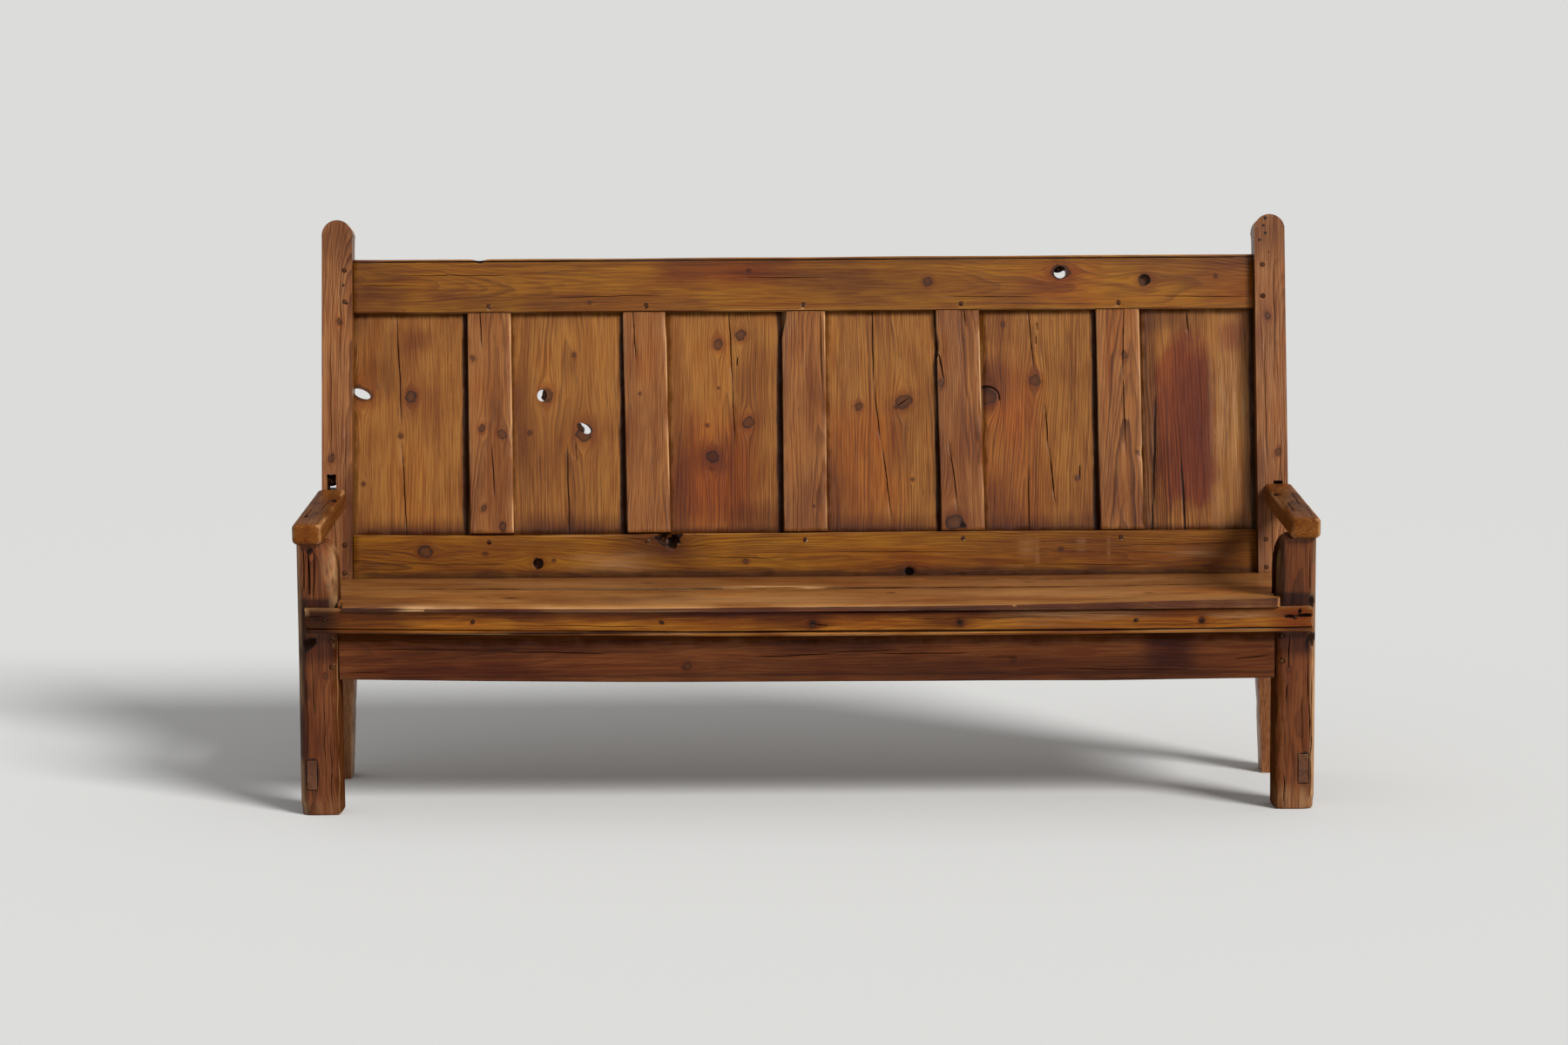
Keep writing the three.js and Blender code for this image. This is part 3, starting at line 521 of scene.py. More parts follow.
# %% [markdown]
# ## Old waxed pine
# Every board gets a material of its own from one recipe, because its knots and stains are where they
# are on the real board. The layers go on in the order in which they came: the wood's own rings, the
# yellowing, the knots, the stains, dirt in corners and splits, and last the paler wood where hands
# rubbed an arris. Some stains are painted shade, the dark bands in corners and splits are painted shade
# as well as dirt, and on some boards the rubbed arris is painted pale enough to be a highlight. The
# number beside each layer is its greatest share. A trunk tapers, so a ring moves towards the pith by 2
# mm over 100 mm of length.

# %% The pine material
TAPER = 0.02
BUMP_STRENGTH = 0.8


def pine(name, place_name, grain, tone, pith, ring, seed, knots=(), stains_and_shade=(), scuffs_and_painted_light=(),
         edges=None, dirt_and_shade=0.8, dirt_and_shade_reach=16.0, contrast=0.8, streaks=0.7, checks=0.35,
         gloss=0.42, wax=0.3, relief=0.25, polish_and_highlight=0.4):
    """A waxed pine board. Pith, knots, stains and edges are places in millimetres in its frame."""
    material, tree, shader = new_material(name)
    across, depth, along = material_places(tree, place_name, grain)
    flowing, nearest = with_knots(tree, across, along, grain, knots)
    late, fibre, streak, blotch, check = use(
        tree, RINGS, flowing, depth, along, *pith, ring, TAPER, seed
    )
    hole, dash = use(tree, SPECKS, across, depth, along, seed)

    pale, dark = TONES[tone]
    colour = blend(pale, dark, late * contrast)
    colour = blend(colour, FIBRES, smooth(fibre, 0.42, 0.62) * 0.9, "MULTIPLY")
    colour = blend(colour, PATINA, smooth(blotch, 0.4, 0.7) * 0.8, "MULTIPLY")
    colour = blend(colour, PATINA, smooth(streak, 0.48, 0.7) * streaks, "MULTIPLY")
    colour = blend(colour, HONEY, smooth(blotch, 0.5, 0.3) * 0.4, "MULTIPLY")
    if nearest is not None:
        colour = paint_knots(colour, nearest, fibre, blotch)
    colour = paint_stains_and_shade(tree, colour, across, along, grain, stains_and_shade)
    # Pale worn patches; a few are painted light as well, such as the highlight on the seat's nosing.
    for index, (x, z, half_x, half_z, share) in enumerate(scuffs_and_painted_light):
        centre, halves = placed(grain, x, z), placed(grain, half_x, half_z)
        wear_and_painted_light = use(tree, STAIN, across, along, *centre, *halves, 0.8, seed + index)
        colour = blend(colour, RUBBED_AND_HIGHLIGHT, wear_and_painted_light * smooth(fibre + streak, 0.8, 1.2) * share)
    split = attribute(tree, "split")
    dull = split
    if edges is not None:
        # Dark bands along the joints: grime, and painted shade in the corners where parts meet.
        grime_and_shade = edge_dirt_and_shade(tree, across, along, grain, edges, dirt_and_shade_reach)
        colour = blend(colour, DIRT_AND_SHADE, grime_and_shade * dirt_and_shade * 0.6)
        dull = dull.math("MAXIMUM", grime_and_shade)
    # Pale wood on rubbed arrises; where its share is high it is also a painted highlight.
    rubbed = attribute(tree, "rubbed") * smooth(blotch, 0.62, 0.42)
    colour = blend(colour, RUBBED_AND_HIGHLIGHT, rubbed * polish_and_highlight)
    marks = (check * checks).math("MAXIMUM", hole * 0.85).math("MAXIMUM", dash * 0.3)
    colour = blend(colour, OPEN_SPLIT, marks)
    # Splits and dark hollows are painted near black, for their dirt and for the shade deep inside them.
    colour = blend(colour, OPEN_SPLIT, smooth(split, 0.15, 0.5) * 0.94)
    tree.links.new(colour.socket, shader.inputs["Base Color"])

    rough = fibre * 0.12 + blotch * 0.16 + marks * 0.3 + dull * 0.4 + (gloss - 0.12)
    tree.links.new(rough.socket, shader.inputs["Roughness"])
    raise_skin(tree, shader, late * relief + fibre * 0.12 - marks * 0.9, BUMP_STRENGTH)
    # Dirt, painted shade and splits have no sheen. Where this link is dropped, the socket's own value
    # stands.
    shader.inputs["Specular IOR Level"].default_value = wax
    tree.links.new((wax - dull * wax).socket, shader.inputs["Specular IOR Level"])
    return material


# %% [markdown]
# ## Working a board
# A board starts as a copy of its solid's mesh, brought into its own frame. Its doubles are merged and
# its flat faces made whole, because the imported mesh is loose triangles. Then the bench work follows:
# arrises are rounded with a bevel, cutting planes slice the faces so that they can bend, splits are
# opened along two more planes, chips are pressed in, and a slow noise sinks the whole skin a little,
# as planing by hand and wear do. Those moves go inwards, so the board never grows past its solid.
# Cuts lie about 12 mm apart, and 13 mm on the longest boards.

# %% Board tools
AXES = {"x": 0, "y": 1, "z": 2}
SIDES = (("left", -1), ("right", 1))
# Angles at which an edge counts as flat or as sharp, and how near is the same place, in millimetres.
FLAT_ANGLE = radians(0.6)
SHARP_ANGLE = radians(32)
MERGE_DISTANCE = 0.03
SLICE_SNAP = 0.02
CRACK_SNAP = 0.05
ON_LINE = 0.1
# Distances between cuts, the rim of a face that wears as an arris does, and a place beyond all.
CELL = 12.0
LONG_CELL = 13
RIM = 12.0
FAR = 3000
# Wear: lumps are long along the grain, arrises also wear in quicker lumps, and in places in nicks.
LUMP_STRETCH = 0.45
QUICK_NOISE = 5.3
NICK_NOISE = 17
NICK_START = 0.25
EDGE_TILT = 0.25
# Splits and bites: the noise of their line, of their depth and of a ragged rim.
SHORT_CRACK = 70
CRACK_STEPS = 8
ON_SIDE = 0.4
WANDER_NOISE = 0.02
DEPTH_NOISE = 0.05
BITE_NOISE = 0.13


def everything(bm):
    return bm.verts[:] + bm.edges[:] + bm.faces[:]


def stand(bm, name, material):
    """Ends a bmesh as an object at the origin, with one material."""
    mesh = bpy.data.meshes.new(name)
    bm.to_mesh(mesh)
    bm.free()
    mesh.materials.append(material)
    thing = bpy.data.objects.new(name, mesh)
    bpy.context.scene.collection.objects.link(thing)
    return thing


class Board:
    """One board in its own frame, in millimetres, while it is being worked."""

    def __init__(self, node, place_name, grain, seed):
        self.node = node
        self.grain = grain
        self.matrix = place(*PLACES[place_name])
        self.offset = Vector((seed * 13.7, seed * 5.3, seed * 9.1))
        self.bm = bmesh.new()
        self.bm.from_mesh(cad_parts[node].data)
        self.bm.transform(self.matrix.inverted())
        bmesh.ops.remove_doubles(self.bm, verts=self.bm.verts, dist=MERGE_DISTANCE)
        bmesh.ops.dissolve_limit(
            self.bm, angle_limit=FLAT_ANGLE, verts=self.bm.verts, edges=self.bm.edges
        )
        self.split = self.bm.verts.layers.float.new("split")
        self.rubbed = self.bm.verts.layers.float.new("rubbed")
        self.bm.normal_update()

    def round_arrises(self, chosen, width, segments=2):
        """Rounds the sharp edges for which chosen(midpoint, direction) is true."""
        edges = []
        for edge in self.bm.edges:
            if len(edge.link_faces) != 2 or edge.calc_face_angle(0) < SHARP_ANGLE:
                continue
            start, end = (vert.co for vert in edge.verts)
            if chosen((start + end) / 2, (end - start)):
                edges.append(edge)
        bmesh.ops.bevel(
            self.bm, geom=edges, offset=width, offset_type="OFFSET", segments=segments,
            profile=0.5, affect="EDGES", clamp_overlap=True, material=-1,
        )

    def slice(self, axis, start, stop, step=CELL):
        normal = Vector((0, 0, 0))
        normal[AXES[axis]] = 1
        count = max(1, round((stop - start) / step))
        for index in range(count + 1):
            spot = start + (stop - start) * index / count
            bmesh.ops.bisect_plane(
                self.bm, geom=everything(self.bm), dist=SLICE_SNAP,
                plane_co=normal * spot, plane_no=normal,
            )
        return self

    def weather(self, sides=0.8, face=0.6, ends=0.4, arris=1.0, lumps=0.009):
        """Sinks the skin by slow noise, and the long arrises by a quicker one."""
        self.bm.normal_update()
        along = AXES[self.grain]
        across = 0 if self.grain == "z" else 2
        low, high = extent(self)
        for vert in self.bm.verts:
            normal = vert.normal
            spot = vert.co * lumps
            spot[along] *= LUMP_STRETCH
            slow = noise.noise(spot + self.offset) * 0.5 + 0.5
            quick = noise.noise(spot * QUICK_NOISE + self.offset) * 0.5 + 0.5
            nick = max(0.0, noise.noise(spot * NICK_NOISE - self.offset) - NICK_START)
            edge = min(1.0, max(0.0, (1 - max(abs(c) for c in normal)) / EDGE_TILT))
            inside = low[across] + RIM < vert.co[across] < high[across] - RIM
            if inside or (not ends and abs(normal[along]) > 0.3):
                edge = 0.0
            wave = Vector((sides, face, sides))
            wave[along] = ends
            sink = sum(abs(n) * w for n, w in zip(normal, wave)) * slow
            sink += edge * arris * (0.25 + 0.75 * quick * quick + 1.6 * nick)
            vert.co -= normal * sink
            vert[self.rubbed] = max(vert[self.rubbed], edge * (0.4 + 0.6 * quick))

    def crack(self, start, end, width=1.2, depth=4.0, side=("y", -1), wander=2.0):
        """Opens a split along the grain between two places on a face, wide in its middle."""
        deep = AXES[side[0]]
        along = AXES[self.grain]
        across = 3 - deep - along
        first = Vector((0, 0, 0))
        last = Vector((0, 0, 0))
        first[across], first[along] = placed(self.grain, *start)
        last[across], last[along] = placed(self.grain, *end)
        run = last - first
        length = run.length
        forward = run / length
        sideways = Vector((0, 0, 0))
        sideways[across], sideways[along] = forward[along], -forward[across]
        low = min(first[along], last[along])
        high = max(first[along], last[along])
        if length < SHORT_CRACK:
            self.slice(self.grain, low, high, length / CRACK_STEPS)
        for shift in (-width, 0, width):
            self.bm.normal_update()
            faces = [
                f for f in self.bm.faces
                if f.normal[deep] * side[1] > ON_SIDE
                and any(low - CELL < v.co[along] < high + CELL for v in f.verts)
            ]
            parts = set(faces)
            for f in faces:
                parts.update(f.edges)
                parts.update(f.verts)
            bmesh.ops.bisect_plane(
                self.bm, geom=list(parts), dist=CRACK_SNAP,
                plane_co=first + sideways * shift, plane_no=sideways,
            )
        self.bm.normal_update()
        for vert in self.bm.verts:
            if vert.normal[deep] * side[1] < ON_SIDE:
                continue
            off = vert.co - first
            aside = off.dot(sideways)
            share = off.dot(forward) / length
            if abs(aside) > width + ON_LINE or not 0 < share < 1:
                continue
            run_out = sin(pi * share)
            swing = noise.noise(Vector((vert.co[along] * WANDER_NOISE, 0, 0)) + self.offset) * wander
            vert.co[across] += swing * run_out
            if abs(aside) < ON_LINE:
                spot = Vector((vert.co[along] * DEPTH_NOISE, 7, 0))
                rough = 0.7 + 0.6 * noise.noise(spot + self.offset)
                vert.co[deep] -= side[1] * depth * run_out * rough
                vert[self.split] = max(vert[self.split], sqrt(run_out))

    def cracks(self, table, width=1.2, depth=4.0, **more):
        """Opens the splits of a table. A row may end in a width, or a width and a depth, of its own."""
        for start, end, *own in table:
            own_width, own_depth = own + [width, depth][len(own):]
            self.crack(start, end, own_width, own_depth, **more)

    def bite(self, centre, radius, depth, direction, stretch=(1, 1, 1), dark=0.0, ragged=0.0):
        """Presses a hollow into the skin, along a direction. It can be ragged, and painted dark inside,
        for dirt and shade.
        """
        push = Vector(direction).normalized()
        middle = Vector(centre)
        for vert in self.bm.verts:
            off = vert.co - middle
            reach = sqrt(sum((o / s) ** 2 for o, s in zip(off, stretch))) / radius
            reach += ragged * noise.noise(vert.co * BITE_NOISE + self.offset)
            if reach < 1:
                vert.co += push * depth * (1 - reach * reach) ** 2
                vert[self.split] = max(vert[self.split], dark * (1 - reach))

    def move(self, change):
        """Moves every vertex by what change(place) gives."""
        for vert in self.bm.verts:
            vert.co += Vector(change(vert.co))

    def finish(self, material):
        """Hands the board back to the scene in place of its solid."""
        self.bm.transform(self.matrix)
        self.bm.normal_update()
        for face in self.bm.faces:
            face.smooth = True
        for edge in self.bm.edges:
            edge.smooth = edge.calc_face_angle(0) < SHARP_ANGLE
        board = stand(self.bm, self.node + "_aged", material)
        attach(board, "root")
        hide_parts(self.node)
        print(board.name, len(board.data.polygons), "faces")


def extent(board):
    """The lowest and highest corner of a board in its own frame."""
    spots = [vert.co for vert in board.bm.verts]
    low = [min(spot[i] for spot in spots) for i in range(3)]
    high = [max(spot[i] for spot in spots) for i in range(3)]
    return low, high


# %% [markdown]
# ## Panels
# Six thin boards stand loose in the grooves of the frame, so that they can swell and shrink. Each was
# cut from another part of the log, so each has its own pith, its own knots and its own drying splits.
# They are never seen at their edges, so only their faces move. The table lists what is on each one,
# in millimetres on the leaning back: where the pith lay, knots with their radius, splits from end to
# end, and stains with their half sizes.

# %% Panel table
ORANGE = srgb(250, 204, 124)
RED = srgb(212, 172, 160)
WINE = srgb(206, 170, 188)
RUSSET = srgb(214, 166, 160)
GREY = srgb(198, 186, 190)
SMOKE = srgb(170, 146, 126)
LILAC = srgb(146, 128, 134)
OLIVE = srgb(196, 190, 150)
PANEL_LOW = 93
PANEL_HIGH = 580
PANEL_PITCH = 345.5
PANEL_WIDTH = 249.5
BACK_HALF = 988.5
PANELS = {
    1: {
        "pith": (-888, 70), "ring": 6.0, "seed": 1.3, "contrast": 0.4,
        "knots": [(-863, 397, 12), (-886, 311, 5), (-968, 206, 4), (-972, 405, 16, 1.6, 65)],
        "cracks": [((-895, 600), (-884, 330)), ((-884, 310), (-872, 70))],
        "stains_and_shade": [
            (-850, 520, 34, 22, 0.8, PATINA, 0.8), (-935, 450, 36, 40, 0.8, SMOKE, 0.6),
            (-868, 98, 120, 22, 0.8, SMOKE, 0.9), (-960, 560, 50, 60, 0.8, SMOKE, 0.5),
        ],
    },
    2: {
        "pith": (-512, 75), "ring": 6.0, "seed": 4.1, "contrast": 0.65,
        "knots": [(-566, 399, 14, 1.1, 0), (-484, 315, 16, 1.2, 0), (-603, 316, 5), (-505, 487, 4)],
        "cracks": [((-521, 300), (-517, 70)), ((-502, 300), (-500, 250))],
        "stains_and_shade": [
            (-520, 98, 125, 30, 0.8, SMOKE, 0.9), (-620, 300, 22, 120, 0.8, SMOKE, 0.6),
            (-455, 330, 40, 26, 0.8, RED, 0.3),
        ],
    },
    3: {
        "pith": (-182, 42), "ring": 5.6, "seed": 7.9, "contrast": 0.75,
        "knots": [
            (-139, 528, 11), (-189, 507.5, 11.5), (-123, 336, 12), (-202, 260, 13),
            (-213, 330, 4), (-188, 412, 3),
        ],
        "cracks": [((-165, 600), (-157, 417)), ((-157, 425), (-152, 285)), ((-145, 482), (-147, 458))],
        "stains_and_shade": [
            (-205, 215, 90, 120, 0.6, ORANGE, 0.9), (-215, 180, 60, 90, 0.7, RED, 0.4),
            (-282, 190, 34, 110, 0.7, GREY, 1.0), (-202, 262, 34, 30, 0.7, SMOKE, 0.6),
            (-90, 118, 70, 36, 0.8, SMOKE, 0.8),
        ],
    },
    4: {
        "pith": (160, 48), "ring": 6.0, "seed": 11.2, "contrast": 0.8,
        "knots": [(120, 369, 8), (218, 378, 14, 1.5, -62), (236, 208, 4)],
        "cracks": [
            ((150, 610), (153, 415)), ((153, 425), (168, 285)), ((168, 305), (190, 118)),
            ((203, 369), (233, 388), 1.8),
        ],
        "stains_and_shade": [
            (120, 240, 80, 135, 0.6, ORANGE, 0.6), (58, 150, 34, 120, 0.7, GREY, 1.0),
            (205, 300, 26, 60, 0.8, SMOKE, 0.6), (160, 102, 130, 24, 0.8, SMOKE, 0.8),
        ],
    },
    5: {
        "pith": (497, 44), "ring": 6.0, "seed": 15.6, "contrast": 0.9,
        "knots": [(507, 424, 12), (402, 390, 19, 0.9, 0), (598, 209, 5), (438, 548, 4)],
        "cracks": [
            ((493, 590), (505, 446)), ((489, 240), (493, 70)), ((528, 380), (536, 265), 1.8),
            ((536, 285), (550, 145), 2.0), ((512, 556), (513, 534), 2.2), ((511, 524), (512, 500), 2.2),
            ((604, 240), (603, 205), 2.0),
        ],
        "arcs": [(402, 386, 27, 25, 110, 0, 3.6)],
        "stains_and_shade": [
            (450, 390, 56, 84, 0.7, ORANGE, 0.6), (455, 200, 76, 170, 0.6, ORANGE, 0.5),
            (410, 130, 40, 70, 0.7, GREY, 0.9), (410, 430, 30, 44, 0.8, SMOKE, 0.8),
            (520, 102, 130, 24, 0.8, SMOKE, 0.7),
        ],
    },
    6: {
        "pith": (700, 40), "ring": 6.8, "seed": 19.4, "contrast": 1.4, "relief": 0.7,
        "knots": [(984, 330, 6, 3.0, 0)],
        "cracks": [
            ((774, 420), (755, -60), 4.2), ((826, 262), (838, -20), 3.8), ((840, 575), (846, 520)),
        ],
        "stains_and_shade": [
            (838, 322, 63, 186, 0.16, RUSSET, 1.0), (858, 330, 38, 176, 0.5, WINE, 0.7),
            (752, 330, 22, 280, 0.6, GREY, 1.0), (940, 518, 26, 30, 0.5, RUSSET, 0.8),
            (965, 160, 34, 80, 0.8, SMOKE, 0.5), (800, 560, 70, 26, 0.8, GREY, 0.9),
        ],
        # A pale patch: paler grain, and painted light where the arm's shadow falls.
        "scuffs_and_painted_light": [(938, 330, 36, 200, 0.4)],
    },
}

# %% [markdown]
# A knot that has dried loose leaves an open arc on one side. It is a row of small bites along an
# ellipse, which overlap, and needs a finer net of vertices there than the rest of the panel has.

# %% Open arcs
PANEL_FACE = 37
ARC_STEPS = 24


def open_arc(panel, x, z, half_x, half_z, first, last, radius):
    """Opens a thin arc round a place, between two angles in degrees, that runs out at its end."""
    panel.slice("x", x - half_x, x + half_x + radius, 1.6).slice("z", z, z + half_z + radius, 1.6)
    for step in range(ARC_STEPS + 1):
        share = step / ARC_STEPS
        angle = radians(first + (last - first) * share)
        spot = (x + half_x * cos(angle), PANEL_FACE, z + half_z * sin(angle))
        panel.bite(spot, radius * (1 - 0.4 * share), 0.9, (0, 1, 0), (1, 3, 1), dark=3.0)


# %% [markdown]
# Two stains are the same on every panel: a painted shadow in the corner beside the muntin on its right,
# where that muntin throws its shadow, and a darker band along its foot. Each has its half sizes here.

# %% Make the panels
# A dark tint for painted shade, also used for grime at the seat joint and a worn rail end.
SHADE_AND_GRIME = srgb(96, 78, 66)
SHADE_MIDDLE = (PANEL_LOW + PANEL_HIGH) / 2
SHADE_HALF = (11, 330)
FOOT_HALF = (140, 12)
for number, looks in PANELS.items():
    left = (number - 1) * PANEL_PITCH - BACK_HALF
    right = left + PANEL_WIDTH
    shade = (right, SHADE_MIDDLE, *SHADE_HALF, 0.22, SHADE_AND_GRIME, 1.0)
    foot = ((left + right) / 2, PANEL_LOW, *FOOT_HALF, 0.8, SMOKE, 0.9)
    panel = Board(f"panel_{number}", "back", "z", looks["seed"])
    panel.slice("z", PANEL_LOW - 3, PANEL_HIGH + 3).slice("x", left + 1, right - 1)
    panel.weather(sides=0.0, face=0.9, ends=0.0, arris=0.9)
    panel.cracks(looks["cracks"], width=1.9, depth=3.5)
    for arc in looks.get("arcs", ()):
        open_arc(panel, *arc)
    skin = pine(
        f"pine of panel {number}", "back", "z", "panel", looks["pith"], looks["ring"],
        seed=looks["seed"], knots=looks["knots"], stains_and_shade=[*looks["stains_and_shade"], shade, foot], checks=0.3,
        scuffs_and_painted_light=looks.get("scuffs_and_painted_light", ()), edges=((left, right), (PANEL_LOW, PANEL_HIGH)), dirt_and_shade=1.0,
        dirt_and_shade_reach=13.0, contrast=looks["contrast"], streaks=0.45, relief=looks.get("relief", 0.35),
    )
    panel.finish(skin)

# %% [markdown]
# ## What is left of fallen knots
# Three of the knots have dropped out of the back, and each left a broken rest in its hole. Such a rest
# could be part of the board, but as a lump of its own it can be as ragged as it needs. It sits in the
# hole behind the face and is as dark as bark, dark enough to paint the shade deep in the hole too. The
# same lumps stand for the broken wood that is left in the two mortises over the arms, and paint the
# shade inside them. The table gives each one's middle, its half sizes and its slot.

# %% Broken knots
BROKEN_RESTS = {
    "knot_rest_a": ((-563, 42, 399), (12, 3.4, 13), "pine_panel"),
    "knot_rest_b": ((-497, 42, 321), (14, 3.4, 14), "pine_panel"),
    "knot_rest_c": ((564, 38, 671), (14, 10, 8), "pine_frame"),
    "tenon_rest_and_shade_left": ((-1034, 26, 213), (18, 12, 12), "wood_peg"),
    "tenon_rest_and_shade_left_low": ((-1032, 30, 187), (18, 14, 5), "wood_peg"),
    "tenon_rest_and_shade_left_side": ((-1045, 28, 199), (5, 10, 13), "wood_peg"),
    "tenon_rest_and_shade_right": ((1034, 24, 194), (12, 12, 7), "wood_peg"),
}


def broken_rest(name, centre, halves):
    """A ragged lump in a hole of the back, by its middle and half sizes in millimetres."""
    bm = bmesh.new()
    bmesh.ops.create_icosphere(bm, subdivisions=3, radius=1.0)
    for vert in bm.verts:
        rough = 1 + 0.5 * noise.noise(vert.co * 1.7 + Vector(centre)) + 0.2 * noise.noise(vert.co * 6)
        vert.co = Vector(c + h * v * rough for c, h, v in zip(centre, halves, vert.co))
    bm.transform(place(*PLACES["back"]))
    rest = stand(bm, name, bark_and_shade_pine)
    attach(rest, "root")


bark_and_shade_pine = pine("bark and painted shade in the holes", "back", "y", "bark", (0, 0), 2.0, seed=5.0, wax=0.1)
for name, (centre, halves, slot) in BROKEN_RESTS.items():
    broken_rest(name, centre, halves)
print("Broken rests:", ", ".join(BROKEN_RESTS))

# %% [markdown]
# ## Muntins
# Five upright boards divide the back. Their faces stand 15 mm in front of the panels, and the light
# from the side draws a bright line down one arris and a deep shadow beside the other, so these
# arrises are the most telling lines of the bench. None is quite upright any more, so each leans by
# the shifts of its top and its foot. Their lower shoulders are drawn down a little at the back, so no
# light shows through the joint.

# %% Muntin table
MUNTIN_HALF = 48
MUNTIN_FACE = 22
MUNTIN_LOW = 95
MUNTINS = {
    1: {
        "pith": (-700, 60), "ring": 3.6, "seed": 31.0, "lean": (0.5, 6.0),
        "knots": [
            (-727, 480, 5, 1.3, 20), (-706, 326, 7, 1.3, -20), (-662, 312, 8, 1.4, 30),
            (-703, 150, 5, 1.5, -30), (-662, 110, 7, 1.3, 10),
        ],
        "cracks": [((-712, 600), (-708, 500)), ((-690, 300), (-684, 170))],
        "bites": [((-643, 22, 312), 22, 3, (-1, 0.4, 0), (1, 1, 1))],
    },
    2: {
        "pith": (-290, 110), "ring": 3.2, "seed": 35.3, "lean": (-4.0, 4.0),
        "knots": [(-360, 400, 3)],
        "cracks": [((-372, 600), (-366, 470))],
        "bites": [((-297, 22, 560), 30, 2.5, (-1, 0.4, 0), (1, 1, 1.6))],
    },
    3: {
        "pith": (40, 90), "ring": 3.4, "seed": 39.8, "lean": (0.0, 1.5),
        "knots": [(20, 150, 3)],
        "cracks": [((36, 600), (40, 380))],
        "bites": [((-48, 22, 575), 46, 9, (1, 0.2, 0), (1, 1, 1.3))],
    },
    4: {
        "pith": (400, 80), "ring": 3.4, "seed": 43.1, "lean": (-8.0, 1.0),
        "knots": [(300, 418, 7), (328, 112, 20, 0.75, 15)],
        "cracks": [((300, 492), (312, 420), 2.6), ((318, 300), (336, 130)), ((360, 600), (362, 540))],
        "bites": [
            ((297, 22, 500), 30, 6, (1, 0.4, 0), (1, 1, 1.2)),
            ((345, 22, 104), 8, 3, (0, 1, 0), (1.4, 1, 0.7), 2.0),
        ],
    },
    5: {
        "pith": (692, 70), "ring": 4.4, "seed": 47.7, "lean": (-2.0, 3.5),
        "knots": [(703, 478, 6, 1.4, 10), (733, 262, 5, 1.4, 60)],
        "cracks": [((706, 600), (699, 440)), ((699, 460), (703, 250))],
        "bites": [((739, 22, 262), 14, 4, (-1, 0.5, 0), (1, 1, 1))],
    },
}
MUNTIN_ARRISES = ((-1, 2.4), (1, 4.2))
SHOULDER_DROP = 4.0

# %% Make the muntins


def lean(board, low, high, low_shift, high_shift):
    """Leans a board of the back sideways, by one shift at its low end and another at its high end."""
    slope = (high_shift - low_shift) / (high - low)
    board.move(lambda p: (low_shift + slope * (p.z - low), 0, 0))


def close_shoulder(board):
    """Draws the lower shoulders down behind the face."""
    def drop(spot):
        hidden = spot.y > MUNTIN_FACE + 8 and abs(spot.z - MUNTIN_LOW) < 1.0
        return (0, 0, -SHOULDER_DROP if hidden else 0)

    board.move(drop)


for number, looks in MUNTINS.items():
    centre = (number - 3) * PANEL_PITCH
    muntin = Board(f"muntin_{number}", "back", "z", looks["seed"])
    for side, width in MUNTIN_ARRISES:
        edge_x = centre + side * MUNTIN_HALF
        muntin.round_arrises(
            lambda m, r: abs(m.x - edge_x) < 0.5 and m.y < MUNTIN_FACE + 1 and abs(r.z) > 20, width, 3
        )
    muntin.slice("z", MUNTIN_LOW, PANEL_HIGH).slice("x", centre - MUNTIN_HALF, centre + MUNTIN_HALF)
    muntin.weather(sides=1.2, face=0.8, ends=0.0, arris=1.8)
    for bite in looks["bites"]:
        muntin.bite(*bite)
    muntin.cracks(looks["cracks"], width=1.7, depth=4.0)
    close_shoulder(muntin)
    top_shift, low_shift = looks["lean"]
    lean(muntin, MUNTIN_LOW, PANEL_HIGH, low_shift, top_shift)
    # A high share of pale wear paints the highlight down the lit arris, as well as the wear.
    skin = pine(
        f"pine of muntin {number}", "back", "z", "muntin", looks["pith"], looks["ring"],
        seed=looks["seed"], knots=looks["knots"], contrast=1.0, polish_and_highlight=1.7, relief=0.5,
        edges=((centre - 400, centre + 400), (MUNTIN_LOW, PANEL_HIGH + 4)), dirt_and_shade_reach=9.0,
    )
    muntin.finish(skin)

# %% [markdown]
# ## Rails of the back
# The top rail has a fine scratched bead under its upper arris, a notch worn in that arris on the
# left, one knot hole right through and one blind one. The low rail's upper arris is wavy, and a knot
# has broken out of it. Their grain runs along X, so knots are long that way too.

# %% Top rail
RAIL_FACE = 20
RAIL_BACK = 52
TOP_RAIL = (580, 699)
LOW_RAIL = (-12, 93)
HOLE_ROUND = 1.2
BEAD_LINE = 692.5
TOP_RAIL_CRACKS = (
    ((-905, 663), (-640, 661)), ((-985, 641), (-830, 640)), ((300, 610), (520, 606)),
    ((780, 606), (984, 604)), ((-560, 612), (-300, 616)), ((-150, 655), (60, 652)),
)
BEAD_STARTS = (-1048, -360, 330)
BEAD_LENGTH = 720


def rail_arris(rail, heights, width):
    """Rounds the four long arrises of a rail between two heights."""
    low, high = heights
    rail.round_arrises(
        lambda m, r: abs(r.x) > 8 and (m.y < RAIL_FACE + 0.5 or m.y > RAIL_BACK - 0.5)
        and (abs(m.z - high) < 0.6 or abs(m.z - low) < 0.6),
        width, 3,
    )


def ease_holes(rail, holes):
    """Rounds the rims of the holes in the face, each given by its place and reach."""
    def on_rim(middle, run):
        return abs(middle.y - RAIL_FACE) < 0.5 and any(
            abs(middle.x - x) < reach and abs(middle.z - z) < reach for x, z, reach in holes
        )

    rail.round_arrises(on_rim, HOLE_ROUND)


